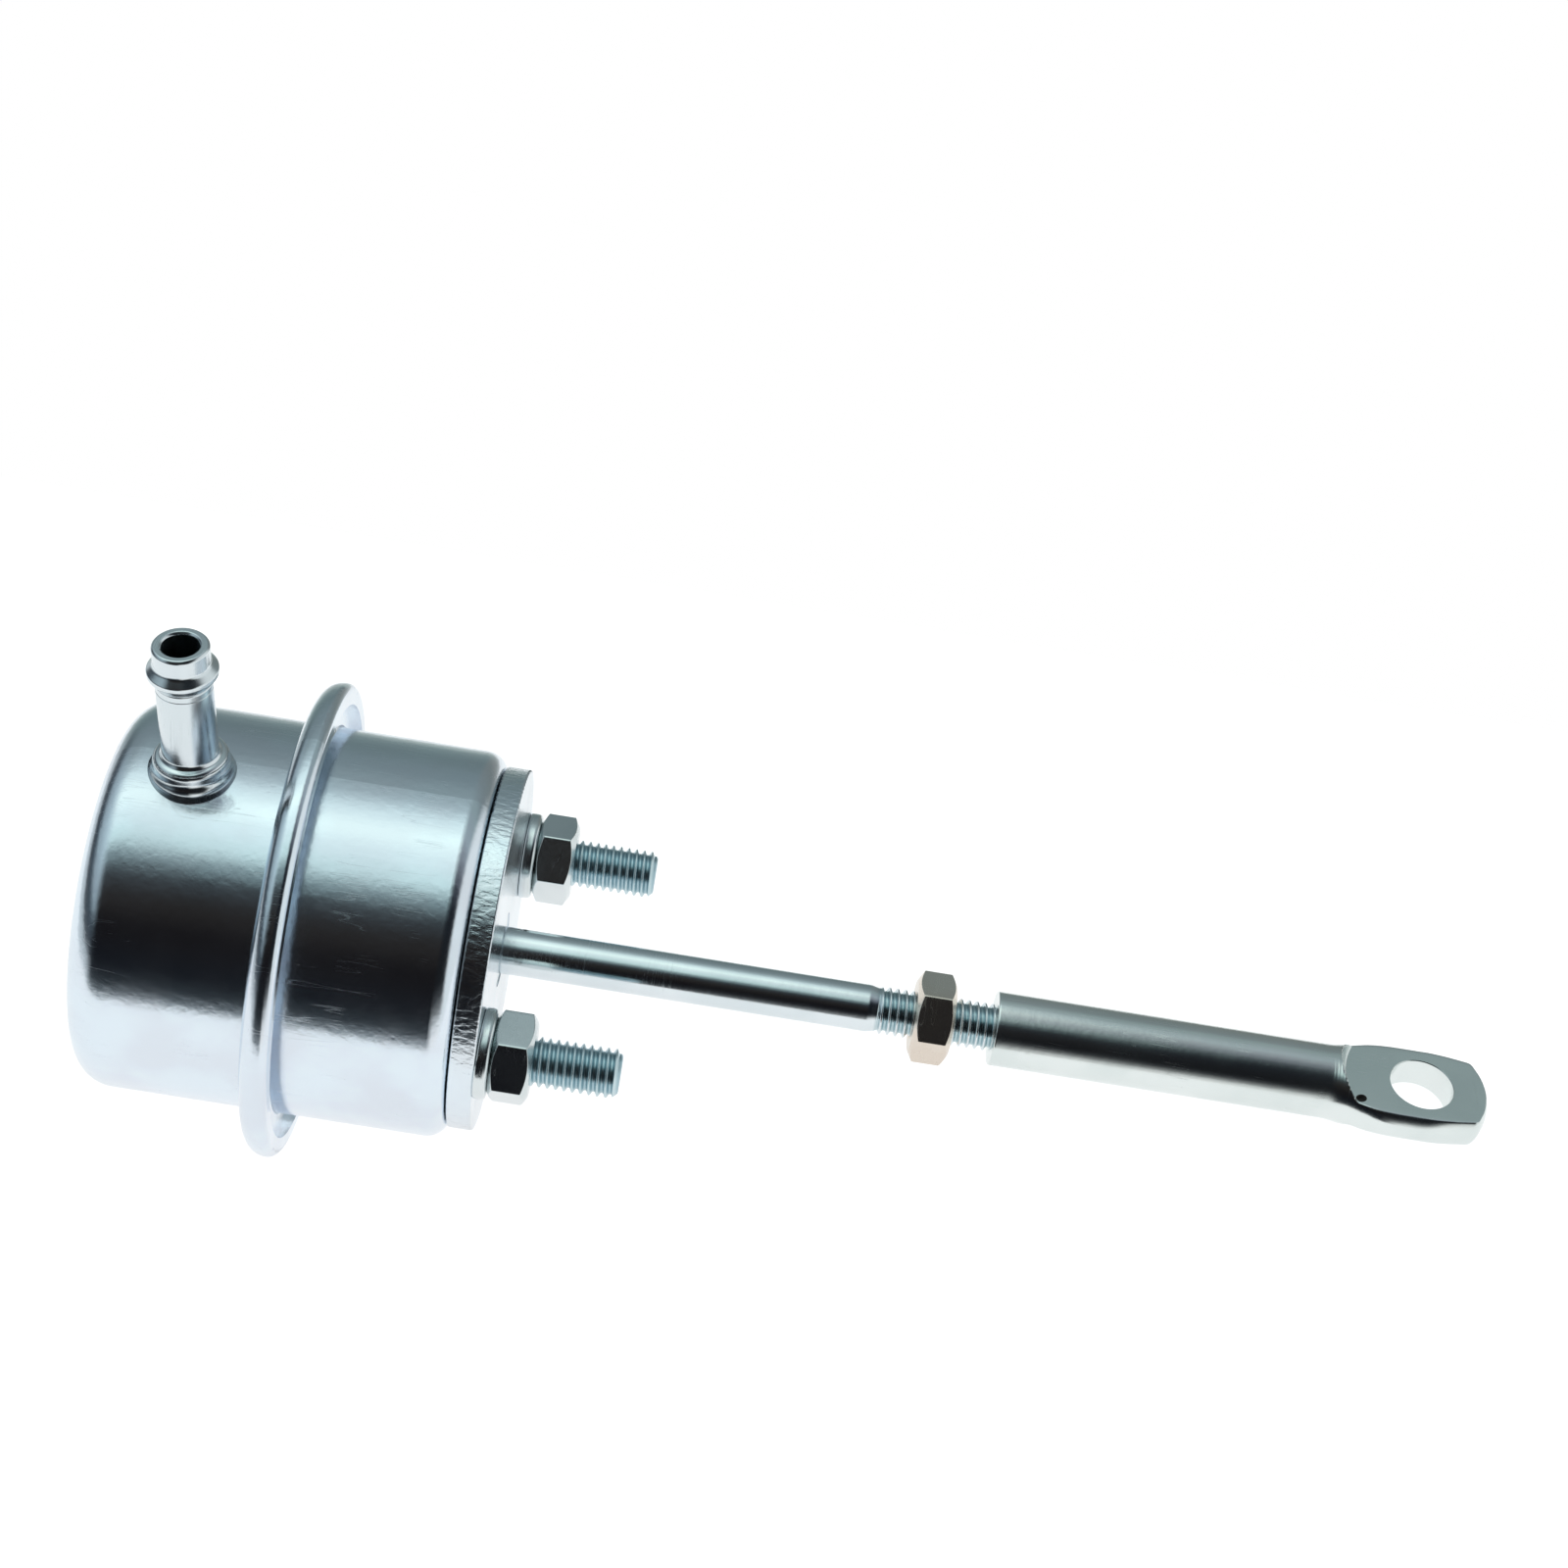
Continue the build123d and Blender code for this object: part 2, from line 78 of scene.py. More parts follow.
# Colours by the angle in degrees round the X axis: 0 at the back, 90 above, 180 at the camera's side
ROOM_STOPS = (
    (-35, (0.56, 0.60, 0.57)),
    (-23, (0.43, 0.50, 0.48)),
    (-10, (0.19, 0.25, 0.25)),
    (3, (0.155, 0.205, 0.21)),
    (26, (0.195, 0.246, 0.26)),
    (40, (0.255, 0.318, 0.33)),
    (52, (0.43, 0.52, 0.54)),
    (64, (0.82, 0.99, 0.98)),
    (76, (1.06, 1.24, 1.17)),
    (90, (0.84, 0.99, 0.98)),
    (103, (0.70, 0.89, 0.87)),
    (115, (0.20, 0.27, 0.28)),
    (124, (0.038, 0.043, 0.048)),
    (139, (0.021, 0.018, 0.017)),
    (157, (0.008, 0.007, 0.008)),
    (178, (0.006, 0.007, 0.010)),
    (191, (0.02, 0.025, 0.03)),
    (203, (0.30, 0.34, 0.36)),
    (214, (0.92, 0.96, 0.96)),
)
ROOM_START = -90.0
# The same round the right side, where the light above ends
RIGHT_STOPS = (
    (-35, (0.60, 0.66, 0.66)),
    (-15, (0.26, 0.28, 0.27)),
    (-3, (0.19, 0.22, 0.215)),
    (21, (0.20, 0.235, 0.24)),
    (33, (0.22, 0.265, 0.275)),
    (45, (0.28, 0.35, 0.355)),
    (57, (0.30, 0.36, 0.38)),
    (69, (0.34, 0.40, 0.43)),
    (81, (0.26, 0.29, 0.32)),
    (93, (0.14, 0.155, 0.18)),
    (105, (0.03, 0.035, 0.045)),
    (117, (0.010, 0.012, 0.016)),
    (160, (0.008, 0.009, 0.011)),
    (170, (0.03, 0.033, 0.037)),
    (180, (0.22, 0.23, 0.23)),
    (189, (0.75, 0.77, 0.77)),
    (198, (0.97, 0.97, 0.95)),
)
# The room's far left, by the height of the direction
LEFT_STOPS = (
    (-0.45, (0.80, 0.84, 0.86)),
    (-0.12, (0.55, 0.60, 0.62)),
    (0.02, (0.06, 0.07, 0.08)),
    (0.18, (0.05, 0.065, 0.08)),
    (0.40, (0.34, 0.42, 0.46)),
    (0.70, (0.50, 0.62, 0.66)),
)
# The room's far right end is a pale wall
FAR_RIGHT_COLOUR = (0.80, 0.84, 0.84)


def add_node(tree, kind, place, **settings):
    """Puts a node of that kind into the tree, with its own settings."""
    node = tree.nodes.new(kind)
    node.location = place
    for name, value in settings.items():
        setattr(node, name, value)
    return node


def colour_ramp(tree, place, stops, start, span):
    """Ramp with a colour at each stop, whose place is its distance from the start in spans."""
    ramp = add_node(tree, "ShaderNodeValToRGB", place)
    ramp.color_ramp.interpolation = "EASE"
    marks = ramp.color_ramp.elements
    for index, (value, colour) in enumerate(stops):
        share = (value - start) / span
        mark = marks[index] if index < 2 else marks.new(share)
        mark.position = share
        mark.color = (*colour, 1)
    return ramp


def build_room():
    """World whose colour depends on the direction's angle round the X axis.

    Directions that point to the right go over to the right side's ramp and then to the pale wall. Those that
    point far to the left get the left side's colours, by their height. The camera itself sees white.
    """
    world = bpy.data.worlds.new("studio_room")
    bpy.context.scene.world = world
    world.use_nodes = True
    tree = world.node_tree
    tree.nodes.clear()
    links = tree.links
    output = add_node(tree, "ShaderNodeOutputWorld", (900, 0))
    mix = add_node(tree, "ShaderNodeMixShader", (700, 0))
    rays = add_node(tree, "ShaderNodeLightPath", (450, 300))
    seen = add_node(tree, "ShaderNodeBackground", (450, -200))
    seen.inputs["Color"].default_value = (1, 1, 1, 1)
    room = add_node(tree, "ShaderNodeBackground", (500, 0))
    direction = add_node(tree, "ShaderNodeTexCoord", (-700, 0))
    parts = add_node(tree, "ShaderNodeSeparateXYZ", (-500, 0))
    angle = add_node(tree, "ShaderNodeMath", (-300, 0), operation="ARCTAN2")
    turned = add_node(tree, "ShaderNodeMath", (-150, 0), operation="SUBTRACT")
    turned.inputs[1].default_value = math.radians(ROOM_START)
    share = add_node(tree, "ShaderNodeMath", (0, 0), operation="WRAP")
    share.inputs[1].default_value = FULL_TURN
    share.inputs[2].default_value = 0.0
    scaled = add_node(tree, "ShaderNodeMath", (100, -150), operation="DIVIDE")
    scaled.inputs[1].default_value = FULL_TURN
    round_ramp = colour_ramp(tree, (150, 0), ROOM_STOPS, ROOM_START, 360.0)
    lifted = add_node(tree, "ShaderNodeMapRange", (-150, -350))
    lifted.inputs["From Min"].default_value = -1.0
    lifted.inputs["From Max"].default_value = 1.0
    left_ramp = colour_ramp(tree, (100, -350), LEFT_STOPS, -1.0, 2.0)
    right_ramp = colour_ramp(tree, (150, 250), RIGHT_STOPS, ROOM_START, 360.0)
    links.new(direction.outputs["Generated"], parts.inputs[0])
    links.new(parts.outputs["Z"], angle.inputs[0])
    links.new(parts.outputs["Y"], angle.inputs[1])
    links.new(angle.outputs[0], turned.inputs[0])
    links.new(turned.outputs[0], share.inputs[0])
    links.new(share.outputs[0], scaled.inputs[0])
    links.new(scaled.outputs[0], round_ramp.inputs[0])
    links.new(parts.outputs["Z"], lifted.inputs["Value"])
    links.new(lifted.outputs[0], left_ramp.inputs[0])
    links.new(scaled.outputs[0], right_ramp.inputs[0])
    colour = round_ramp.outputs["Color"]
    for near, far, side in (
        (0.0, 0.2, right_ramp.outputs["Color"]),
        (0.60, 0.80, FAR_RIGHT_COLOUR),
        (-0.50, -0.80, left_ramp.outputs["Color"]),
    ):
        sideways = add_node(tree, "ShaderNodeMapRange", (150, -600), interpolation_type="SMOOTHSTEP")
        sideways.inputs["From Min"].default_value = near
        sideways.inputs["From Max"].default_value = far
        sides = add_node(tree, "ShaderNodeMix", (350, 0), data_type="RGBA")
        links.new(parts.outputs["X"], sideways.inputs["Value"])
        links.new(sideways.outputs[0], sides.inputs["Factor"])
        links.new(colour, sides.inputs[6])
        if isinstance(side, tuple):
            sides.inputs[7].default_value = (*side, 1)
        else:
            links.new(side, sides.inputs[7])
        colour = sides.outputs[2]
    links.new(colour, room.inputs["Color"])
    links.new(rays.outputs["Is Camera Ray"], mix.inputs[0])
    links.new(room.outputs[0], mix.inputs[1])
    links.new(seen.outputs[0], mix.inputs[2])
    links.new(mix.outputs[0], output.inputs["Surface"])


build_room()


PAPER_COLOUR = (0.40, 0.40, 0.40)
MIRRORED_GLOW = 0.83


def table_surface(start_x, end_x, half_width, height):
    """Flat white tabletop: a rectangle at one height."""
    xs = np.array([start_x, end_x, end_x, start_x])
    ys = half_width * np.array([-1, -1, 1, 1])
    mesh = bpy.data.meshes.new("tabletop")
    mesh.from_pydata(np.stack([xs, ys, np.full(4, height)], axis=1).tolist(), [], [(0, 1, 2, 3)])
    table = bpy.data.objects.new("tabletop", mesh)
    bpy.context.scene.collection.objects.link(table)
    return table


def table_material():
    """White paper: light of its own for camera and mirror rays, and a pale colour that keeps the shadow."""
    material = bpy.data.materials.new("white_paper")
    material.use_nodes = True
    tree = material.node_tree
    tree.nodes.clear()
    output = add_node(tree, "ShaderNodeOutputMaterial", (700, 0))
    both = add_node(tree, "ShaderNodeAddShader", (500, 0))
    paper = add_node(tree, "ShaderNodeBsdfDiffuse", (200, -100))
    paper.inputs["Color"].default_value = (*PAPER_COLOUR, 1)
    glow = add_node(tree, "ShaderNodeEmission", (300, 100))
    rays = add_node(tree, "ShaderNodeLightPath", (-200, 200))
    mirrored = add_node(tree, "ShaderNodeMath", (0, 100), operation="MULTIPLY")
    mirrored.inputs[1].default_value = MIRRORED_GLOW
    strength = add_node(tree, "ShaderNodeMath", (150, 200), operation="MAXIMUM")
    tree.links.new(rays.outputs["Is Glossy Ray"], mirrored.inputs[0])
    tree.links.new(rays.outputs["Is Camera Ray"], strength.inputs[0])
    tree.links.new(mirrored.outputs[0], strength.inputs[1])
    tree.links.new(strength.outputs[0], glow.inputs["Strength"])
    tree.links.new(glow.outputs[0], both.inputs[0])
    tree.links.new(paper.outputs[0], both.inputs[1])
    tree.links.new(both.outputs[0], output.inputs["Surface"])
    return material


tabletop = table_surface(start_x=-0.20, end_x=0.37, half_width=0.117, height=-29.7 * MM)
tabletop.data.materials.append(table_material())


# Surfaces worked out on grids of rows and columns, in millimetres


def blend_corners(points, setbacks, steps=7):
    """Line through (station, radius) points with rounded corners.

    A corner V becomes the curve (1-s)(1-s) A + 2s(1-s) V + ss B, where A and B lie the setback before and
    after it. One more point lies half a setback beyond A and B, so that straight runs are shaded straight.
    """
    points = np.asarray(points, float)
    runs = np.diff(points, axis=-2)
    runs /= np.linalg.norm(runs, axis=-1, keepdims=True)
    corner = points[..., 1:-1, None, :]
    back = -np.asarray(setbacks, float)[:, None, None] * runs[..., :-1, None, :]
    ahead = np.asarray(setbacks, float)[:, None, None] * runs[..., 1:, None, :]
    s = np.linspace(0, 1, steps)[:, None]
    bend = corner + (1 - s) ** 2 * back + s**2 * ahead
    inner = np.concatenate([corner + 1.5 * back, bend, corner + 1.5 * ahead], axis=-2)
    inner = inner.reshape(*points.shape[:-2], -1, 2)
    return np.concatenate([points[..., :1, :], inner, points[..., -1:, :]], axis=-2)


def turned_line(*corners, steps=7):
    """Line through corners given as (station, radius, setback), without points that repeat the one before."""
    corners = np.array(corners, float)
    line = blend_corners(corners[:, :2], corners[1:-1, 2], steps)
    gaps = np.linalg.norm(np.diff(line, axis=0), axis=1)
    return line[np.concatenate([[True], gaps > 1e-5])]


def divide_runs(line, start, end, step):
    """The line with extra points between the stations start and end, at most a step of its length apart."""
    along = np.concatenate([[0], np.cumsum(np.linalg.norm(np.diff(line, axis=0), axis=1))])
    inside = (line[:, 0] >= start) & (line[:, 0] <= end)
    extra = np.arange(along[inside].min(), along[inside].max(), step)
    places = np.union1d(along, extra)
    return np.stack([np.interp(places, along, line[:, 0]), np.interp(places, along, line[:, 1])], axis=1)


def turn_round(line, columns, origin=(0, 0, 0), axis=(1, 0, 0), side=(0, 1, 0)):
    """Rows of points: origin + station times axis + radius times (side cos a + third sin a) at angles a."""
    axis = np.asarray(axis, float)
    side = np.asarray(side, float)
    third = np.cross(axis, side)
    angles = np.arange(columns) * FULL_TURN / columns
    spokes = np.cos(angles)[:, None] * side + np.sin(angles)[:, None] * third
    return np.asarray(origin, float) + line[..., 0, None] * axis + line[..., 1, None] * spokes


def lay_mesh(name, grid, closed=False):
    """Object whose mesh joins the grid's rows, each row a closed ring of points, by quads.

    If closed, the last row joins the first. Otherwise each end gets a point in the middle of its ring and a
    fan of triangles. Where the enclosed volume comes out negative, the faces are turned outwards.
    """
    rows, columns = grid.shape[:2]
    points = grid.reshape(-1, 3)
    rings = np.arange(rows * columns).reshape(rows, columns)
    upper = np.roll(rings, -1, axis=0)
    if not closed:
        upper = upper[:-1]
    lower = rings[: len(upper)]
    quads = np.stack([lower, np.roll(lower, -1, 1), np.roll(upper, -1, 1), upper], axis=-1).reshape(-1, 4)
    fans = np.empty((0, 3), int)
    if not closed:
        first, last = rings[0], rings[-1]
        start, end = np.full((2, columns), [[len(points)], [len(points) + 1]])
        start_fan = np.stack([start, np.roll(first, -1), first], 1)
        end_fan = np.stack([end, last, np.roll(last, -1)], 1)
        fans = np.concatenate([start_fan, end_fan])
        points = np.concatenate([points, grid[[0, -1]].mean(axis=1)])
    triangles = np.concatenate([quads[:, :3], quads[:, [0, 2, 3]], fans])
    first, second, third = points[triangles].transpose(1, 0, 2)
    if np.sum(first * np.cross(second, third)) < 0:
        quads = quads[:, ::-1]
        fans = fans[:, ::-1]
    starts = np.concatenate([4 * np.arange(len(quads)), 4 * len(quads) + 3 * np.arange(len(fans))])
    mesh = bpy.data.meshes.new(name)
    mesh.vertices.add(len(points))
    mesh.vertices.foreach_set("co", (points * MM).ravel())
    mesh.loops.add(quads.size + fans.size)
    mesh.loops.foreach_set("vertex_index", np.concatenate([quads.ravel(), fans.ravel()]))
    mesh.polygons.add(len(starts))
    mesh.polygons.foreach_set("loop_start", starts)
    mesh.polygons.foreach_set("use_smooth", np.ones(len(starts), bool))
    mesh.update(calc_edges=True)
    mesh.validate()
    piece = bpy.data.objects.new(name, mesh)
    bpy.context.scene.collection.objects.link(piece)
    return piece


def mark_points(piece, name, values):
    """Gives the piece's points a number each, such as how deep they lie in a thread; missing ones get 0."""
    marks = np.zeros(len(piece.data.vertices), np.float32)
    marks[: values.size] = values.ravel()
    piece.data.attributes.new(name, "FLOAT", "POINT").data.foreach_set("value", marks)


def ride_for(piece, body, node):
    """The piece rides on the body and stands for the node."""
    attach(piece, body)
    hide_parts(node)


def dress(piece, body, node, material):
    """The piece wears the material, rides on the body and stands for the node."""
    piece.data.materials.append(material)
    ride_for(piece, body, node)


# Finishes: sizes in metres, depths as shares of the relief

CLOUD_SIZE = 0.009
CLOUD_ROUGHNESS = 0.04
HAIRLINE_WIDTH = 0.012
HAIRLINE_ROUGHNESS = 0.15
HAIRLINE_DEPTH = 0.5
PIT_SPACING = 0.0016
PIT_RADIUS = 0.22
PIT_DEPTH = 1.5
SHEAR_RELIEF = 0.00003
GRAIN_SHADE = 0.8


def shader_group(name, inputs, outputs):
    """Empty node group with these sockets. Returns it with its entry and its exit."""
    group = bpy.data.node_groups.new(name, "ShaderNodeTree")
    for label, kind, value in inputs:
        socket = group.interface.new_socket(name=label, in_out="INPUT", socket_type=kind)
        socket.default_value = value
    for label, kind in outputs:
        group.interface.new_socket(name=label, in_out="OUTPUT", socket_type=kind)
    entry = add_node(group, "NodeGroupInput", (-900, 0))
    leave = add_node(group, "NodeGroupOutput", (900, 0))
    return group, entry, leave


def build_patches():
    """Cloudy mask: noise of the given size, sharpened round its middle."""
    group, entry, leave = shader_group(
        "zinc_patches",
        [
            ("Vector", "NodeSocketVector", (0, 0, 0)),
            ("Size", "NodeSocketFloat", 0.005),
            ("Detail", "NodeSocketFloat", 3),
        ],
        [("Mask", "NodeSocketFloat")],
    )
    scale = add_node(group, "ShaderNodeMath", (-650, -100), operation="DIVIDE")
    scale.inputs[0].default_value = 1.0
    noise = add_node(group, "ShaderNodeTexNoise", (-400, 0))
    spread = add_node(group, "ShaderNodeMapRange", (-100, 0), interpolation_type="SMOOTHSTEP")
    spread.inputs["From Min"].default_value = 0.35
    spread.inputs["From Max"].default_value = 0.65
    group.links.new(entry.outputs["Size"], scale.inputs[1])
    group.links.new(entry.outputs["Vector"], noise.inputs["Vector"])
    group.links.new(scale.outputs[0], noise.inputs["Scale"])
    group.links.new(entry.outputs["Detail"], noise.inputs["Detail"])
    group.links.new(noise.outputs[0], spread.inputs["Value"])
    group.links.new(spread.outputs[0], leave.inputs["Mask"])
    return group


def build_hairlines():
    """Thin broken lines: where a stretched noise crosses its middle value, kept only in some patches."""
    group, entry, leave = shader_group(
        "hairlines",
        [
            ("Vector", "NodeSocketVector", (0, 0, 0)),
            ("Stretch", "NodeSocketVector", (1, 1, 1)),
            ("Width", "NodeSocketFloat", 0.01),
        ],
        [("Mask", "NodeSocketFloat")],
    )
    drawn = add_node(group, "ShaderNodeVectorMath", (-700, 0), operation="MULTIPLY")
    noise = add_node(group, "ShaderNodeTexNoise", (-500, 0))
    noise.inputs["Scale"].default_value = 1.0
    noise.inputs["Detail"].default_value = 1.0
    centred = add_node(group, "ShaderNodeMath", (-300, 0), operation="SUBTRACT")
    centred.inputs[1].default_value = 0.5
    apart = add_node(group, "ShaderNodeMath", (-150, 0), operation="ABSOLUTE")
    line = add_node(group, "ShaderNodeMapRange", (50, 0))
    line.inputs["To Min"].default_value = 1.0
    line.inputs["To Max"].default_value = 0.0
    breaks = add_node(group, "ShaderNodeTexNoise", (-500, -300))
    breaks.inputs["Scale"].default_value = 160.0
    kept = add_node(group, "ShaderNodeMapRange", (-250, -300), interpolation_type="SMOOTHSTEP")
    kept.inputs["From Min"].default_value = 0.50
    kept.inputs["From Max"].default_value = 0.62
    both = add_node(group, "ShaderNodeMath", (300, 0), operation="MULTIPLY")
    group.links.new(entry.outputs["Vector"], drawn.inputs[0])
    group.links.new(entry.outputs["Stretch"], drawn.inputs[1])
    group.links.new(drawn.outputs[0], noise.inputs["Vector"])
    group.links.new(noise.outputs[0], centred.inputs[0])
    group.links.new(centred.outputs[0], apart.inputs[0])
    group.links.new(apart.outputs[0], line.inputs["Value"])
    group.links.new(entry.outputs["Width"], line.inputs["From Max"])
    group.links.new(entry.outputs["Vector"], breaks.inputs["Vector"])
    group.links.new(breaks.outputs[0], kept.inputs["Value"])
    group.links.new(line.outputs[0], both.inputs[0])
    group.links.new(kept.outputs[0], both.inputs[1])
    group.links.new(both.outputs[0], leave.inputs["Mask"])
    return group


def build_pits():
    """Small round pits: the middles of the cells of a Voronoi pattern, kept in a share of the cells."""
    group, entry, leave = shader_group(
        "pits",
        [
            ("Vector", "NodeSocketVector", (0, 0, 0)),
            ("Spacing", "NodeSocketFloat", 0.001),
            ("Share", "NodeSocketFloat", 0.2),
            ("Radius", "NodeSocketFloat", 0.25),
        ],
        [("Mask", "NodeSocketFloat")],
    )
    scale = add_node(group, "ShaderNodeMath", (-700, -100), operation="DIVIDE")
    scale.inputs[0].default_value = 1.0
    cells = add_node(group, "ShaderNodeTexVoronoi", (-500, 0))
    lot = add_node(group, "ShaderNodeSeparateXYZ", (-250, -200))
    chosen = add_node(group, "ShaderNodeMath", (0, -200), operation="LESS_THAN")
    bowl = add_node(group, "ShaderNodeMapRange", (0, 50), interpolation_type="SMOOTHSTEP")
    bowl.inputs["To Min"].default_value = 1.0
    bowl.inputs["To Max"].default_value = 0.0
    both = add_node(group, "ShaderNodeMath", (300, 0), operation="MULTIPLY")
    group.links.new(entry.outputs["Spacing"], scale.inputs[1])
    group.links.new(entry.outputs["Vector"], cells.inputs["Vector"])
    group.links.new(scale.outputs[0], cells.inputs["Scale"])
    group.links.new(cells.outputs["Color"], lot.inputs[0])
    group.links.new(lot.outputs[0], chosen.inputs[0])
    group.links.new(entry.outputs["Share"], chosen.inputs[1])
    group.links.new(cells.outputs["Distance"], bowl.inputs["Value"])
    group.links.new(entry.outputs["Radius"], bowl.inputs["From Max"])
    group.links.new(bowl.outputs[0], both.inputs[0])
    group.links.new(chosen.outputs[0], both.inputs[1])
    group.links.new(both.outputs[0], leave.inputs["Mask"])
    return group


patches_group = build_patches()
hairlines_group = build_hairlines()
pits_group = build_pits()


def place_group(tree, group, place, **values):
    """Node of the group with its own values, by socket name."""
    node = add_node(tree, "ShaderNodeGroup", place, node_tree=group)
    for label, value in values.items():
        node.inputs[label].default_value = value
    return node


def math_node(tree, place, operation, first, second):
    """Math node on two links or numbers."""
    node = add_node(tree, "ShaderNodeMath", place, operation=operation)
    for socket, value in zip(node.inputs, (first, second)):
        if isinstance(value, (int, float)):
            socket.default_value = value
        else:
            tree.links.new(value, socket)
    return node.outputs[0]


def zinc(name, colour, stain, roughness, relief, wave_size, lines, pit_share, mark=None, root_shade_colour=None):
    """Bright zinc plating.

    The colour goes over to the stain in cloudy patches. Waves of the given size, hairlines and pits make the
    relief, in metres. Roughness grows in the patches and lines. A point mark, if named, brings in the root
    shade
    colour by its value: painted shade, darker where the points lie deeper in a thread.
    """
    material = bpy.data.materials.new(name)
    material.use_nodes = True
    tree = material.node_tree
    shader = tree.nodes["Principled BSDF"]
    shader.inputs["Metallic"].default_value = 1.0
    place = add_node(tree, "ShaderNodeTexCoord", (-1500, 0)).outputs["Object"]
    clouds = place_group(tree, patches_group, (-1200, 300), Size=CLOUD_SIZE, Detail=4)
    waves = place_group(tree, patches_group, (-1200, 100), Size=wave_size, Detail=2)
    scratch = place_group(tree, hairlines_group, (-1200, -100), Stretch=lines, Width=HAIRLINE_WIDTH)
    pits = place_group(
        tree, pits_group, (-1200, -300), Spacing=PIT_SPACING, Share=pit_share, Radius=PIT_RADIUS
    )
    for group in (clouds, waves, scratch, pits):
        tree.links.new(place, group.inputs["Vector"])
    tint = add_node(tree, "ShaderNodeMix", (-700, 300), data_type="RGBA")
    tint.inputs[6].default_value = (*colour, 1)
    tint.inputs[7].default_value = (*stain, 1)
    tree.links.new(clouds.outputs[0], tint.inputs["Factor"])
    skin = tint.outputs[2]
    if mark:
        # Painted shade in the thread's roots: the colour darkens by how deep each point lies
        marked = add_node(tree, "ShaderNodeAttribute", (-900, 500), attribute_name=mark)
        root_shade = add_node(tree, "ShaderNodeMix", (-450, 400), data_type="RGBA")
        root_shade.inputs[7].default_value = (*root_shade_colour, 1)
        tree.links.new(marked.outputs["Fac"], root_shade.inputs["Factor"])
        tree.links.new(skin, root_shade.inputs[6])
        skin = root_shade.outputs[2]
    tree.links.new(skin, shader.inputs["Base Color"])
    dull = math_node(tree, (-700, 50), "MULTIPLY", clouds.outputs[0], CLOUD_ROUGHNESS)
    worn = math_node(tree, (-700, -50), "MULTIPLY", scratch.outputs[0], HAIRLINE_ROUGHNESS)
    rough = math_node(tree, (-500, 0), "ADD", dull, worn)
    tree.links.new(math_node(tree, (-300, 0), "ADD", rough, roughness), shader.inputs["Roughness"])
    cut = math_node(tree, (-700, -200), "MULTIPLY", scratch.outputs[0], -HAIRLINE_DEPTH)
    sunk = math_node(tree, (-700, -350), "MULTIPLY", pits.outputs[0], -PIT_DEPTH)
    low = math_node(tree, (-500, -250), "ADD", cut, sunk)
    height = math_node(tree, (-300, -250), "ADD", waves.outputs[0], low)
    bump = add_node(tree, "ShaderNodeBump", (-150, -250))
    bump.inputs["Distance"].default_value = relief
    tree.links.new(height, bump.inputs["Height"])
    tree.links.new(bump.outputs[0], shader.inputs["Normal"])
    return material


def shear_marks(material, first_radius, size, stretch):
    """Torn relief on a sheared edge: slanting streaks, only farther from the X axis than the first radius."""
    tree = material.node_tree
    shader = tree.nodes["Principled BSDF"]
    smooth = shader.inputs["Normal"].links[0].from_socket
    place = add_node(tree, "ShaderNodeTexCoord", (-1500, -600)).outputs["Object"]
    level = add_node(tree, "ShaderNodeVectorMath", (-1300, -700), operation="MULTIPLY")
    level.inputs[1].default_value = (0, 1, 1)
    away = add_node(tree, "ShaderNodeVectorMath", (-1150, -700), operation="LENGTH")
    edge = add_node(tree, "ShaderNodeMapRange", (-1000, -700))
    edge.inputs["From Min"].default_value = first_radius
    edge.inputs["From Max"].default_value = first_radius + 0.0001
    slanted = add_node(tree, "ShaderNodeMapping", (-1300, -500))
    slanted.inputs["Rotation"].default_value = (0, 0.6, 0.5)
    slanted.inputs["Scale"].default_value = stretch
    torn = place_group(tree, patches_group, (-1000, -500), Size=size, Detail=4)
    height = math_node(tree, (-800, -600), "MULTIPLY", torn.outputs[0], edge.outputs[0])
    bump = add_node(tree, "ShaderNodeBump", (-50, -500))
    bump.inputs["Distance"].default_value = SHEAR_RELIEF
    tree.links.new(place, level.inputs[0])
    tree.links.new(level.outputs[0], away.inputs[0])
    tree.links.new(away.outputs["Value"], edge.inputs["Value"])
    tree.links.new(place, slanted.inputs["Vector"])
    tree.links.new(slanted.outputs[0], torn.inputs["Vector"])
    tree.links.new(height, bump.inputs["Height"])
    tree.links.new(smooth, bump.inputs["Normal"])
    tree.links.new(bump.outputs[0], shader.inputs["Normal"])


def plain(name, colour, metallic, roughness, grain_size, relief):
    """Finish of an inner part: one colour, darker in its grain, with a fine relief."""
    material = bpy.data.materials.new(name)
    material.use_nodes = True
    tree = material.node_tree
    shader = tree.nodes["Principled BSDF"]
    shader.inputs["Metallic"].default_value = metallic
    shader.inputs["Roughness"].default_value = roughness
    place = add_node(tree, "ShaderNodeTexCoord", (-900, 0)).outputs["Object"]
    grain = place_group(tree, patches_group, (-700, 0), Size=grain_size, Detail=3)
    tree.links.new(place, grain.inputs["Vector"])
    tint = add_node(tree, "ShaderNodeMix", (-400, 200), data_type="RGBA")
    tint.inputs[6].default_value = (*colour, 1)
    tint.inputs[7].default_value = (*(GRAIN_SHADE * np.array(colour)), 1)
    tree.links.new(grain.outputs[0], tint.inputs["Factor"])
    tree.links.new(tint.outputs[2], shader.inputs["Base Color"])
    bump = add_node(tree, "ShaderNodeBump", (-200, -200))
    bump.inputs["Distance"].default_value = relief
    tree.links.new(grain.outputs[0], bump.inputs["Height"])
    tree.links.new(bump.outputs[0], shader.inputs["Normal"])
    return material


THREAD_LINES = (900, 200, 200)
TURNED_LINES = (2500, 60, 60)
DRAWN_LINES = (60, 900, 900)

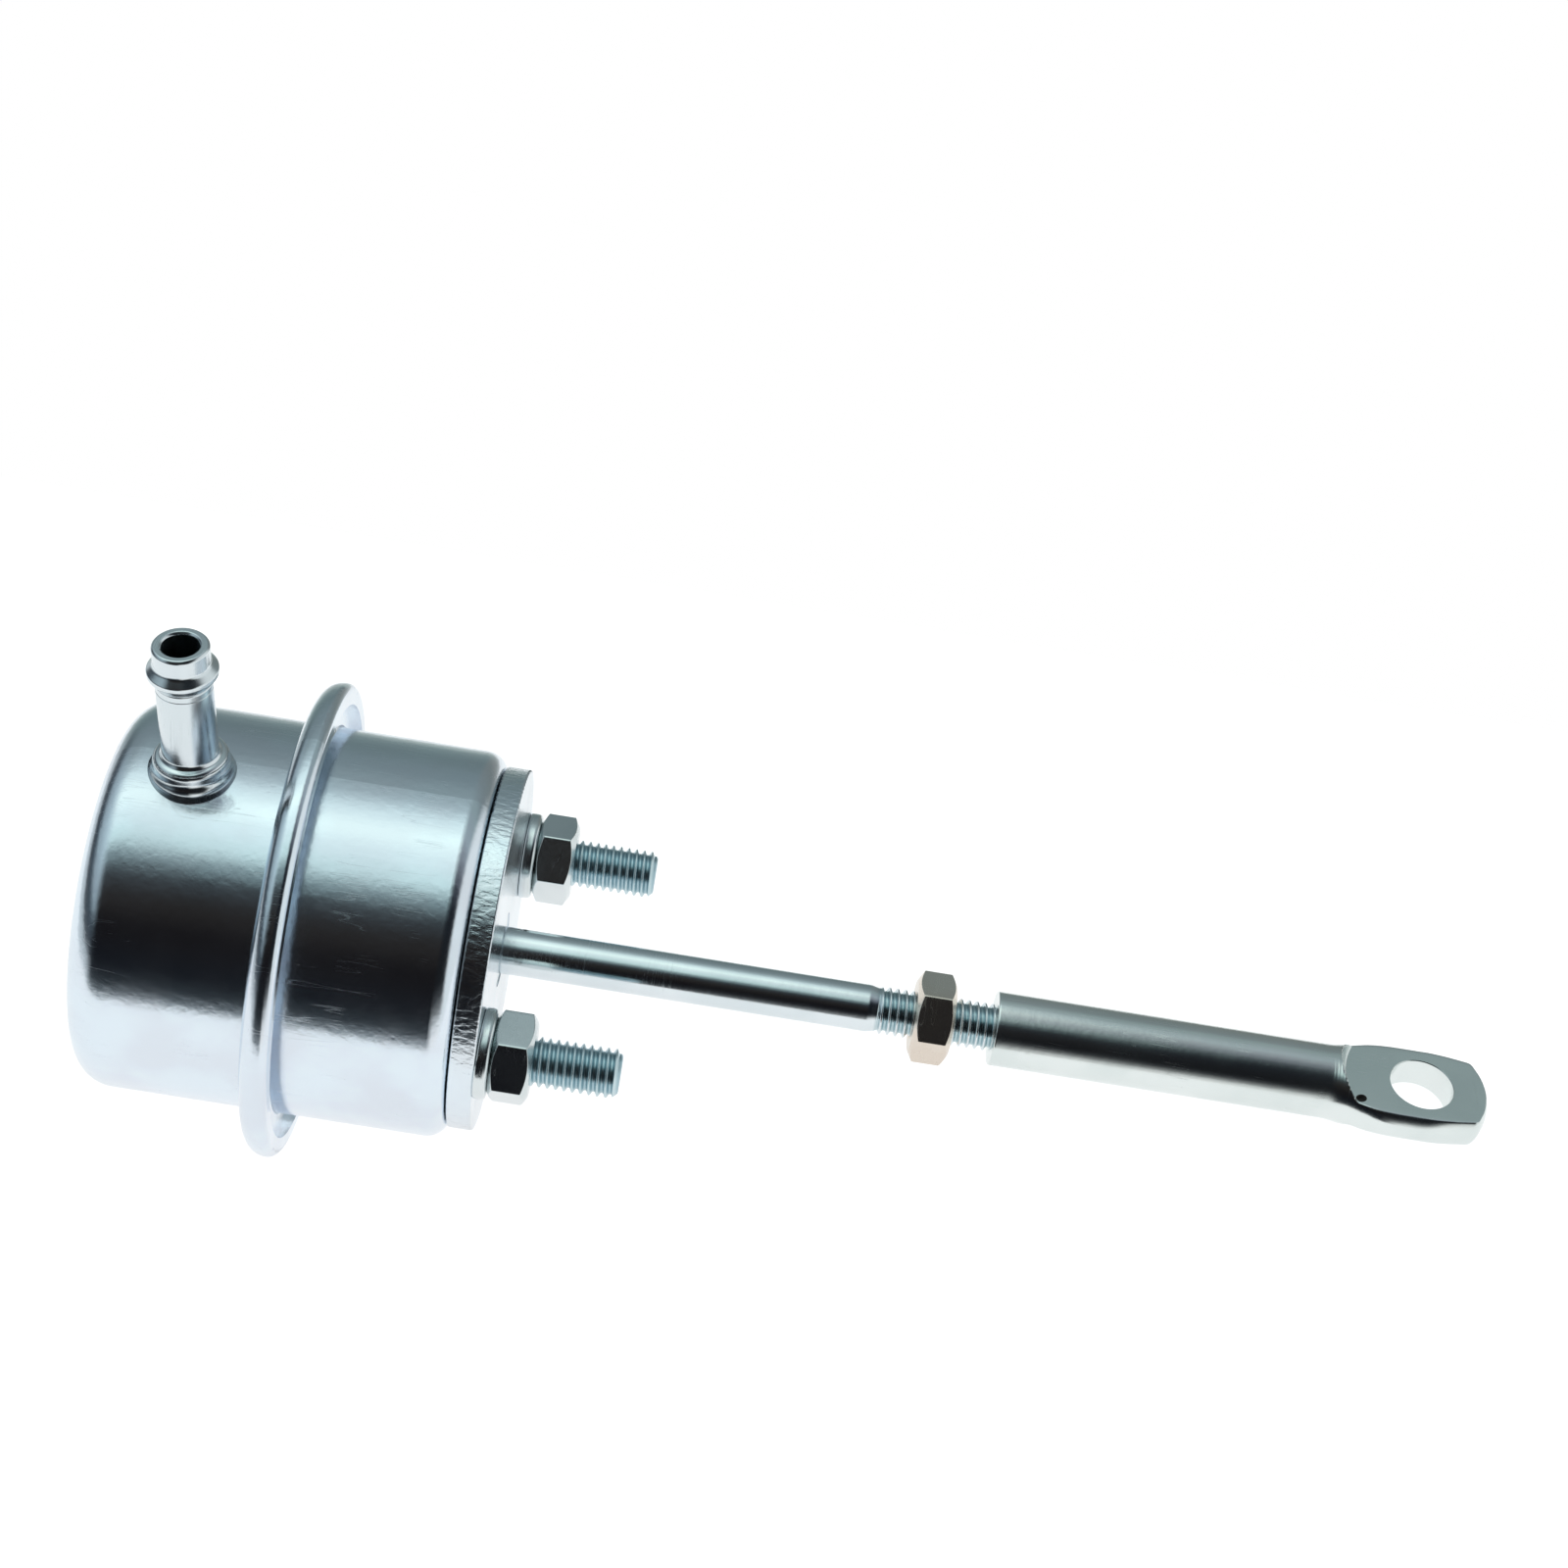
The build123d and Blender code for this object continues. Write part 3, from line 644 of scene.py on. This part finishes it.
pressed_zinc = zinc(
    "pressed_zinc",
    (0.79, 0.87, 0.94),
    (0.76, 0.81, 0.88),
    roughness=0.16,
    relief=5e-6,
    wave_size=0.0011,
    lines=DRAWN_LINES,
    pit_share=0.16,
)
turned_zinc = zinc(
    "turned_zinc",
    (0.79, 0.84, 0.87),
    (0.74, 0.80, 0.83),
    roughness=0.16,
    relief=2e-6,
    wave_size=0.0009,
    lines=TURNED_LINES,
    pit_share=0.05,
)
fastener_zinc = zinc(
    "fastener_zinc",
    (0.76, 0.80, 0.81),
    (0.70, 0.75, 0.76),
    roughness=0.16,
    relief=2e-6,
    wave_size=0.0009,
    lines=THREAD_LINES,
    pit_share=0.05,
)
# Stud threads: darker towards the roots by the thread_depth mark, as painted shade
thread_zinc = zinc(
    "thread_zinc",
    (0.64, 0.76, 0.80),
    (0.58, 0.72, 0.76),
    roughness=0.27,
    relief=1.5e-6,
    wave_size=0.0006,
    lines=THREAD_LINES,
    pit_share=0.02,
    mark="thread_depth",
    root_shade_colour=(0.40, 0.55, 0.61),
)
# Rod threads: darker towards the roots by the thread_depth mark, as painted shade
rod_zinc = zinc(
    "rod_zinc",
    (0.79, 0.84, 0.87),
    (0.74, 0.80, 0.83),
    roughness=0.14,
    relief=1.5e-6,
    wave_size=0.0008,
    lines=TURNED_LINES,
    pit_share=0.04,
    mark="thread_depth",
    root_shade_colour=(0.45, 0.58, 0.62),
)
lock_zinc = zinc(
    "lock_nut_zinc",
    (0.84, 0.77, 0.69),
    (0.77, 0.67, 0.58),
    roughness=0.20,
    relief=2e-6,
    wave_size=0.0009,
    lines=THREAD_LINES,
    pit_share=0.05,
)
sleeve_zinc = zinc(
    "sleeve_zinc",
    (0.82, 0.86, 0.85),
    (0.76, 0.81, 0.80),
    roughness=0.16,
    relief=2e-6,
    wave_size=0.0009,
    lines=DRAWN_LINES,
    pit_share=0.08,
)
plate_zinc = zinc(
    "plate_zinc",
    (0.79, 0.86, 0.92),
    (0.76, 0.80, 0.84),
    roughness=0.16,
    relief=4e-6,
    wave_size=0.0011,
    lines=(300, 300, 300),
    pit_share=0.10,
)
shear_marks(plate_zinc, first_radius=0.02215, size=0.0009, stretch=(0.6, 1.4, 1.4))
# Near-black lining of the eye's small pit: painted shade in the hollow
pit_shade = plain(
    "pit_shade", (0.035, 0.028, 0.024), metallic=0.2, roughness=0.7, grain_size=0.0002, relief=4e-6
)
spring_steel = plain(
    "spring_steel", (0.35, 0.36, 0.38), metallic=1.0, roughness=0.35, grain_size=0.0008, relief=4e-6
)
bush_bronze = plain(
    "bush_bronze", (0.60, 0.45, 0.25), metallic=1.0, roughness=0.45, grain_size=0.0004, relief=8e-6
)
diaphragm_rubber = plain(
    "diaphragm_rubber", (0.04, 0.04, 0.045), metallic=0.0, roughness=0.6, grain_size=0.0006, relief=1e-5
)

SLOT_MATERIALS = {
    "plated_sheet": pressed_zinc,
    "plated_turned": turned_zinc,
    "plated_fastener": fastener_zinc,
    "spring_steel": spring_steel,
    "bush_bronze": bush_bronze,
    "diaphragm_rubber": diaphragm_rubber,
}
for subpart in frame["record"]["subparts"]:
    slots = nodes[subpart["node"]].data.materials
    slots.clear()
    slots.append(SLOT_MATERIALS[subpart["material_slot"]])
nodes["mounting_plate"].data.materials[0] = plate_zinc


# Hose nipple: turned tube with a bead behind its mouth, and a collar saddled on the can

NIPPLE_ROOT = np.array([-38.1, -2.25, 23.894])
NIPPLE_AXIS = np.array([-0.073238, 0.0, 0.997314])
NIPPLE_SIDE = np.array([0.997314, 0.0, 0.073238])
NIPPLE_FOOT = -2.0
NIPPLE_MOUTH = 18.5
NIPPLE_BORE_RADIUS = 2.15
TUBE_RADIUS = 3.31
BEAD_RADIUS = 4.125
COLLAR_RADIUS = 4.5
SADDLE_RADII = (5.125, 4.2, 3.32)
CAN_SEAT_RADIUS = 24.02


def round_nipple(line, columns):
    """The line turned round the nipple's axis."""
    return turn_round(line, columns, NIPPLE_ROOT, NIPPLE_AXIS, NIPPLE_SIDE)


def seat_station(radius, columns):
    """Stations along the nipple's axis at which circles of those radii round it meet the can's surface."""
    circle = round_nipple(np.stack([0 * radius, radius], axis=-1)[:, None], columns)
    return (np.sqrt(CAN_SEAT_RADIUS**2 - circle[..., 1] ** 2) - circle[..., 2]) / NIPPLE_AXIS[2]


def nipple_surface(columns=160):
    """Section from the bore's foot up to the mouth, down over bead and collar, and in along the can.

    The collar's last points and its underside lie where their circles meet the can.
    """
    line = turned_line(
        (NIPPLE_FOOT, NIPPLE_BORE_RADIUS, 0),
        (18.25, NIPPLE_BORE_RADIUS, 0.08),
        (NIPPLE_MOUTH, 2.4, 0.08),
        (NIPPLE_MOUTH, 3.06, 0.12),
        (18.22, 3.33, 0.12),
        (16.0, TUBE_RADIUS, 0.25),
        (15.17, BEAD_RADIUS, 0.12),
        (14.6, BEAD_RADIUS, 0.12),
        (13.5, 3.34, 0.1),
        (13.4, 3.24, 0.05),
        (13.25, 3.30, 0.05),
        (12.55, 3.30, 0.015),
        (12.5, 3.26, 0.015),
        (12.45, TUBE_RADIUS, 0.015),
        (3.0, TUBE_RADIUS, 0.15),
        (2.6, 3.62, 0.1),
        (2.45, 4.1, 0.22),
        (1.95, COLLAR_RADIUS, 0.25),
        (0.9, COLLAR_RADIUS, 0.3),
        (0.35, 4.9, 0),
    )
    rows = round_nipple(line[:, None], columns)
    radii = np.array(SADDLE_RADII)
    seat = seat_station(radii, columns)
    saddle = round_nipple(np.stack([seat, np.broadcast_to(radii[:, None], seat.shape)], axis=-1), columns)
    spigot = round_nipple(np.array([[(NIPPLE_FOOT, TUBE_RADIUS)]]), columns)
    return np.concatenate([rows, saddle, spigot])


def hose_nipple():
    """Nipple, saddled on the rear can."""
    piece = lay_mesh("nipple_turned", nipple_surface(), closed=True)
    dress(piece, "housing", "hose_nipple", turned_zinc)


hose_nipple()


# Threads, right-handed: pitch 1 mm, rounded crest and root

PITCH = 1.0
THREAD_RADIUS = 3.0
THREAD_DEPTH = 0.52
CREST_SHARE = 0.06
FLANK_SHARE = 0.76
# Radius of a thread's neck inside a nut, and of the nut's own bore
NECK_RADIUS = 2.675
THREAD_BORE_RADIUS = 2.725
# Distance between the points along a thread
THREAD_STEP = PITCH / 26
THREAD_COLUMNS = 72


def thread_fall(stations, columns):
    """How deep each point lies in the thread, 0 on the crest and 1 in the root.

    The crest's phase is station over pitch less the share of a turn. The fall from crest to root is the
    smooth step ss(3 - 2s).
    """
    phase = stations[:, None] / PITCH - np.arange(columns) / columns
    apart = 2 * np.abs(phase - np.round(phase))
    fall = np.clip((apart - CREST_SHARE) / FLANK_SHARE, 0, 1)
    return fall**2 * (3 - 2 * fall)


def threaded_surface(line, spans, columns=THREAD_COLUMNS):
    """Turned line with the thread cut into it inside the spans, each (start, end, run-in, run-out).

    Returns the (station, radius) grid and how deep each point lies in the thread.
    """
    fall = thread_fall(line[:, 0], columns)
    window = np.zeros(len(line))
    for start, end, run_in, run_out in spans:
        rise = np.clip((line[:, 0] - start) / run_in, 0, 1)
        drop = np.clip((end - line[:, 0]) / run_out, 0, 1)
        window = np.maximum(window, np.minimum(rise, drop))
    depth = fall * window[:, None]
    radius = np.minimum(line[:, 1, None], THREAD_RADIUS - THREAD_DEPTH * depth)
    stations = np.broadcast_to(line[:, 0, None], radius.shape)
    return np.stack([stations, radius], axis=-1), depth


STUD_Y = 17.5
STUD_BACK = -3.0
STUD_ROOT_RADIUS = 3.5
STUD_NECK_END = 6.3
STUD_TIP = 17.0


def stud(side, centre_y):
    """Stud: wider root in the plate, neck inside washer and nut, thread with a chamfered tip."""
    line = turned_line(
        (STUD_BACK, 1.5, 0),
        (STUD_BACK, STUD_ROOT_RADIUS, 0.1),
        (0.0, STUD_ROOT_RADIUS, 0),
        (0.0, NECK_RADIUS, 0),
        (STUD_NECK_END, NECK_RADIUS, 0),
        (6.5, THREAD_RADIUS, 0),
        (16.25, THREAD_RADIUS, 0.12),
        (STUD_TIP, 2.25, 0.12),
        (STUD_TIP, 0.6, 0),
    )
    line = divide_runs(line, STUD_NECK_END, 16.9, THREAD_STEP)
    grid, depth = threaded_surface(line, [(6.2, 17.5, 0.1, 0.4)])
    piece = lay_mesh(f"stud_thread_{side}", turn_round(grid, THREAD_COLUMNS, (0, centre_y, 0)))
    mark_points(piece, "thread_depth", depth)
    dress(piece, "housing", f"stud_{side}", thread_zinc)


# Hexagon nuts and washers

NUT_HEIGHT = 4.9
NUT_FACE_RADIUS = 4.45
NUT_BEVEL_ANGLE = math.radians(30)
NUT_MOUTH_DEPTH = 0.275
NUT_SETBACKS = (0.05, 0.07, 0.07, 0.07, 0.07, 0.05, 0.05)
LOCK_NUT_SEAT = 51.4
WASHER_THICKNESS = 1.6
WASHER_RADIUS = 5.5
WASHER_BORE_RADIUS = 3.2


def hexagon_ring(corner_angle, flats=10.0, corner_round=0.3, across=16, bends=7):
    """Points round a hexagon with rounded corners: radius and unit spoke of each.

    Each corner is an arc about a centre on its spoke, and the flats run straight from arc to arc.
    """
    spokes = np.radians(corner_angle + 60 * np.arange(6))
    reach = (flats / 2 - corner_round) / math.cos(math.pi / 6)
    centres = reach * np.stack([np.cos(spokes), np.sin(spokes)], 1)
    turns = spokes[:, None] + np.linspace(-math.pi / 6, math.pi / 6, bends)
    arcs = centres[:, None] + corner_round * np.stack([np.cos(turns), np.sin(turns)], -1)
    share = np.linspace(0, 1, across)[1:-1, None]
    runs = arcs[:, -1, None] * (1 - share) + np.roll(arcs, -1, 0)[:, 0, None] * share
    outline = np.concatenate([arcs, runs], axis=1).reshape(-1, 2)
    radii = np.linalg.norm(outline, axis=1)
    return radii, outline / radii[:, None]


def nut_surface(seat, centre_y, corner_angle):
    """Section of the nut carried round its hexagon.

    At each spoke the flat lies at the hexagon's radius, and the bevel falls from it to the face's circle at
    both ends. The threaded bore has a bevelled mouth at both ends.
    """
    radii, spokes = hexagon_ring(corner_angle)
    bevel = (radii - NUT_FACE_RADIUS) * math.tan(NUT_BEVEL_ANGLE)
    one = np.ones_like(radii)
    corners = [
        (NUT_MOUTH_DEPTH * one, THREAD_BORE_RADIUS * one),
        (0 * one, THREAD_RADIUS * one),
        (0 * one, NUT_FACE_RADIUS * one),
        (bevel, radii),
        (NUT_HEIGHT - bevel, radii),
        (NUT_HEIGHT * one, NUT_FACE_RADIUS * one),
        (NUT_HEIGHT * one, THREAD_RADIUS * one),
        ((NUT_HEIGHT - NUT_MOUTH_DEPTH) * one, THREAD_BORE_RADIUS * one),
        (0.5 * NUT_HEIGHT * one, THREAD_BORE_RADIUS * one),
    ]
    section = np.stack([np.stack(corner, -1) for corner in corners], axis=1)
    section = blend_corners(section, NUT_SETBACKS, steps=5)
    stations, radius = section[..., 0].T, section[..., 1].T
    across = radius[..., None] * spokes
    return np.stack([seat + stations, centre_y + across[..., 0], across[..., 1]], axis=-1)


def nut(name, seat, centre_y, corner_angle, body, node, material):
    """Nut with its rear face at the seat."""
    piece = lay_mesh(name, nut_surface(seat, centre_y, corner_angle), closed=True)
    dress(piece, body, node, material)


def washer(side, centre_y):
    """Stamped washer: rounded at its front edge, sharper at the rear."""
    line = turned_line(
        (0.8, WASHER_BORE_RADIUS, 0),
        (WASHER_THICKNESS, WASHER_BORE_RADIUS, 0.12),
        (WASHER_THICKNESS, WASHER_RADIUS, 0.62),
        (0.0, WASHER_RADIUS, 0.34),
        (0.0, WASHER_BORE_RADIUS, 0.05),
        (0.6, WASHER_BORE_RADIUS, 0),
    )
    piece = lay_mesh(f"washer_stamped_{side}", turn_round(line[:, None], 128, (0, centre_y, 0)), closed=True)
    dress(piece, "housing", f"washer_{side}", fastener_zinc)


for side, centre_y, corner_angle in (("left", -STUD_Y, 0.4), ("right", STUD_Y, 48.6)):
    stud(side, centre_y)
    washer(side, centre_y)
    nut(
        f"nut_hexagon_{side}",
        WASHER_THICKNESS,
        centre_y,
        corner_angle,
        "housing",
        f"nut_{side}",
        fastener_zinc,
    )
nut("lock_nut_hexagon", LOCK_NUT_SEAT, 0.0, 47.6, "lock_nut", "lock_nut", lock_zinc)


# Push rod: peened head, stub, shank, rolled thread necked inside lock nut and rod end

HEAD_BACK = -47.3
HEAD_FRONT = -46.1
HEAD_RADIUS = 4.0
STUB_RADIUS = 2.5
SHOULDER_X = -42.3
SHANK_RADIUS = 2.95
ROD_TIP = 88.0


def push_rod():
    """Turned rod whose shank tapers to the rolled thread."""
    line = turned_line(
        (HEAD_BACK, 1.0, 0),
        (HEAD_BACK, 3.4, 0.3),
        (-46.7, HEAD_RADIUS, 0.2),
        (HEAD_FRONT, HEAD_RADIUS, 0),
        (HEAD_FRONT, STUB_RADIUS, 0),
        (SHOULDER_X, STUB_RADIUS, 0),
        (SHOULDER_X, SHANK_RADIUS, 0.1),
        (45.9, SHANK_RADIUS, 0.3),
        (46.9, 2.7, 0.15),
        (47.4, THREAD_RADIUS, 0.15),
        (51.25, THREAD_RADIUS, 0),
        (51.3, NECK_RADIUS, 0),
        (56.4, NECK_RADIUS, 0),
        (56.45, THREAD_RADIUS, 0),
        (61.35, THREAD_RADIUS, 0),
        (61.4, NECK_RADIUS, 0.02),
        (87.3, NECK_RADIUS, 0.1),
        (ROD_TIP, 1.975, 0.1),
        (ROD_TIP, 0.6, 0),
    )
    line = divide_runs(line, 45.8, 61.4, THREAD_STEP)
    grid, depth = threaded_surface(line, [(46.2, 51.6, 1.2, 0.1), (56.2, 61.6, 0.1, 0.1)])
    piece = lay_mesh("push_rod_threaded", turn_round(grid, THREAD_COLUMNS))
    mark_points(piece, "thread_depth", depth)
    dress(piece, "push_rod", "actuator_rod", rod_zinc)


push_rod()


# Guide bush: its nose fills the plate's hole and leaves the rod a running fit

BUSH_BORE = 2.985
BUSH_RADIUS = 5.45
BUSH_BACK = -10.0
BUSH_FRONT = -4.0
NOSE_RADIUS = 4.58
NOSE_FRONT = -0.12


def bush_with_nose():
    """Turned ring: the body behind the plate and a nose that reaches through the plate's hole."""
    line = turned_line(
        (-6.0, BUSH_BORE, 0),
        (BUSH_BACK, BUSH_BORE, 0.1),
        (BUSH_BACK, BUSH_RADIUS, 0.3),
        (BUSH_FRONT, BUSH_RADIUS, 0.3),
        (BUSH_FRONT, NOSE_RADIUS, 0.05),
        (NOSE_FRONT, NOSE_RADIUS, 0.12),
        (NOSE_FRONT, BUSH_BORE, 0.08),
        (-5.0, BUSH_BORE, 0),
    )
    piece = lay_mesh("bush_nosed", turn_round(line[:, None], 128), closed=True)
    dress(piece, "housing", "guide_bush", turned_zinc)


bush_with_nose()


# Rod end: drawn bar, bored for the thread and forged flat into an eye

SLEEVE_START_X = 61.5
SLEEVE_RADIUS = 4.65
SLEEVE_BORE_END_X = 90.0
# The forged step between bar and eye: its place on the axis, its curve across, and its length
STEP_X = 103.9
STEP_CURVE = 0.05
STEP_LENGTH = 1.9
BAR_HEADROOM = 3.6
EYE_HALF_THICKNESS = 2.1
EYE_HALF_WIDTH = 6.52
EYE_CENTRE_X = 115.4
EYE_BORE_RADIUS = 4.0
EYE_END_X = 124.0
END_ARC_RADIUS = 9.43
END_ARC_TURNS = (22, 17, 12, 8, 4, 1.5, 0.15)
# The side's radius falls by the one beside the eye and grows by the other at its end
SIDE_RADIUS_FALL = 1.45
SIDE_RADIUS_GROWTH = 2.0
EDGE_SOFTNESS = 0.12
PIT_PLACE = (107.4, -4.0, 0)
PIT_COLUMNS = 40


def softer_least(first, second, softness):
    """(a + b - root((a-b)(a-b) + kk)) / 2: the lesser of two values, with a rounded change between them."""
    return (first + second - np.sqrt((first - second) ** 2 + softness**2)) / 2


def smooth_share(values, start, end):
    """ss(3 - 2s), where s is how far each value lies from start to end, kept within 0 and 1."""
    s = np.clip((values - start) / (end - start), 0, 1)
    return s**2 * (3 - 2 * s)


def cut_height(xs, ys):
    """Half thickness that the forging leaves: more than the bar behind the step, and the eye's after it.

    The step starts at STEP_X + STEP_CURVE yy.
    """
    step = STEP_X + STEP_CURVE * ys**2
    return EYE_HALF_THICKNESS + BAR_HEADROOM * (1 - smooth_share(xs, step, step + STEP_LENGTH))


def rod_end_outline():
    """Half outline seen from above, as (x, half width): bar, flare, long sides and a rounded end."""
    turns = np.radians(END_ARC_TURNS)
    end_arc = [
        (EYE_END_X - END_ARC_RADIUS * (1 - math.cos(turn)), END_ARC_RADIUS * math.sin(turn), 0)
        for turn in turns
    ]
    line = turned_line(
        (63.0, SLEEVE_RADIUS, 0),
        (104.6, SLEEVE_RADIUS, 1.4),
        (110.4, EYE_HALF_WIDTH, 2.2),
        (116.0, EYE_HALF_WIDTH, 1.4),
        (122.42, 5.42, 0.8),
        *end_arc,
        steps=25,
    )
    line = divide_runs(line, 102.0, 107.5, 0.09)
    return divide_runs(line, 107.5, 123.0, 0.35)


def rod_end_surface(side_steps=33, top_steps=40):
    """Rings of the bar and the eye, in rows along the outline, and of the bore behind its mouth.

    The side at height z lies inwards from the outline by R - root(RR - zz), along the outline's normal.
    R goes from the bar's radius to a smaller one beside the eye and a larger one at its end. Straight rows
    across join both sides, at the lesser of the bar's own height and the cut height.
    """
    outline = rod_end_outline()
    xs, widths = outline.T[..., None]
    tangent = np.gradient(outline, axis=0)
    tangent /= np.linalg.norm(tangent, axis=1, keepdims=True)
    normal_x, normal_y = np.maximum(-tangent[:, 1, None], 0), tangent[:, 0, None]
    normal_x[-1], normal_y[-1] = 1.0, 0.0
    side_radius = SLEEVE_RADIUS - SIDE_RADIUS_FALL * smooth_share(xs, 105.0, 112.0)
    side_radius = side_radius + SIDE_RADIUS_GROWTH * smooth_share(xs, 115.0, 120.0)
    reach = np.arcsin(np.clip((cut_height(xs, widths) + 0.2) / side_radius, 0, 0.995))
    angles = reach * np.linspace(-1, 1, side_steps)
    inset = side_radius * (1 - np.cos(angles))
    side_x = xs - normal_x * inset
    side_y = widths - normal_y * inset
    bar_side = np.abs(side_radius * np.sin(angles))
    side_z = softer_least(bar_side, cut_height(side_x, side_y), EDGE_SOFTNESS) * np.sign(angles)
    share = np.linspace(1, -1, top_steps + 2)[1:-1]
    top_y = side_y[:, -1:] * share
    top_x = np.broadcast_to(side_x[:, -1:], top_y.shape)
    depth = np.clip((widths - np.abs(top_y)) / np.maximum(normal_y, 0.05), 0, side_radius)
    bar_z = np.sqrt(side_radius**2 - (side_radius - depth) ** 2)
    top_z = softer_least(bar_z, cut_height(top_x, top_y), EDGE_SOFTNESS)
    right = np.stack([side_x, side_y, side_z], -1)
    top = np.stack([top_x, top_y, top_z], -1)
    mirror = np.array([1, -1, 1])
    bottom = np.array([1, 1, -1])
    rings = np.concatenate([right, top, (right * mirror)[:, ::-1], (top * bottom)[:, ::-1]], axis=1)
    bore = turned_line(
        (SLEEVE_BORE_END_X, 0.1, 0),
        (SLEEVE_BORE_END_X, THREAD_BORE_RADIUS, 0),
        (61.9, THREAD_BORE_RADIUS, 0),
        (SLEEVE_START_X, 3.1, 0.08),
        (SLEEVE_START_X, SLEEVE_RADIUS, 0.2),
        (62.5, SLEEVE_RADIUS, 0),
    )
    spokes = rings[0, :, 1:] / np.linalg.norm(rings[0, :, 1:], axis=1, keepdims=True)
    stations = np.broadcast_to(bore[:, None, :1], (len(bore), len(spokes), 1))
    mouth = np.concatenate([stations, bore[:, None, 1:] * spokes], axis=-1)
    return np.concatenate([mouth, rings])


def cut_out(piece, cutter):
    """Takes the cutter's solid out of the piece's mesh."""
    trim = piece.modifiers.new("cut_out", "BOOLEAN")
    trim.operation = "DIFFERENCE"
    trim.solver = "EXACT"
    trim.object = cutter
    evaluated = piece.evaluated_get(bpy.context.evaluated_depsgraph_get())
    piece.data = bpy.data.meshes.new_from_object(evaluated)
    piece.modifiers.clear()
    bpy.data.objects.remove(cutter)


def eye_cutter():
    """Bore of the eye, widening outside the faces so that its mouths are bevelled."""
    line = turned_line(
        (-3.4, 2.0, 0),
        (-3.4, 5.35, 0),
        (-2.02, EYE_BORE_RADIUS, 0.08),
        (2.02, EYE_BORE_RADIUS, 0.08),
        (3.4, 5.35, 0),
        (3.4, 2.0, 0),
    )
    grid = turn_round(line[:, None], 96, (EYE_CENTRE_X, 0, 0), axis=(0, 0, 1), side=(1, 0, 0))
    return lay_mesh("eye_cutter", grid)


def pit_cutter():
    """Small dent in the eye's upper face, off round. Its walls get the near-black material: painted shade in
    the pit.
    """
    line = turned_line((1.55, 0.05, 0), (1.6, 0.30, 0.1), (2.05, 0.52, 0.1), (2.6, 0.72, 0), (2.6, 0.1, 0))
    grid = turn_round(line[:, None], PIT_COLUMNS, axis=(0, 0, 1), side=(1, 0, 0))
    sway = 1 + 0.12 * np.sin(2 * np.arange(PIT_COLUMNS) * FULL_TURN / PIT_COLUMNS + 0.6)
    stretch = np.stack([1.2 * sway, 1.25 * sway, np.ones(PIT_COLUMNS)], -1)
    cutter = lay_mesh("pit_cutter", grid * stretch + PIT_PLACE)
    # The cutter's faces take the near-black material, which lines the pit: painted shade
    for material in (sleeve_zinc, pit_shade):
        cutter.data.materials.append(material)
    cutter.data.polygons.foreach_set("material_index", np.ones(len(cutter.data.polygons), int))
    return cutter


def rod_end():
    """Rod end with its eye bored and its small pit, whose walls are painted near-black as shade."""
    piece = lay_mesh("rod_end_forged", rod_end_surface())
    piece.data.materials.append(sleeve_zinc)
    # Second slot: near-black painted shade for the pit's walls
    piece.data.materials.append(pit_shade)
    cut_out(piece, eye_cutter())
    cut_out(piece, pit_cutter())
    piece.data.set_sharp_from_angle(angle=math.radians(32))
    ride_for(piece, "rod_end", "rod_end")


rod_end()


# Return spring and diaphragm: held in the housing


def yielding_copy(node, name, material):
    """The node's own shape with its doubled points merged, riding on the housing in place of the node."""
    mesh = nodes[node].data.copy()
    shell = bmesh.new()
    shell.from_mesh(mesh)
    bmesh.ops.remove_doubles(shell, verts=shell.verts, dist=1e-7)
    shell.to_mesh(mesh)
    shell.free()
    mesh.materials.clear()
    piece = bpy.data.objects.new(name, mesh)
    bpy.context.scene.collection.objects.link(piece)
    dress(piece, "housing", node, material)
    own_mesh(piece)


yielding_copy("return_spring", "spring_wound", spring_steel)
yielding_copy("diaphragm", "diaphragm_rolling", diaphragm_rubber)
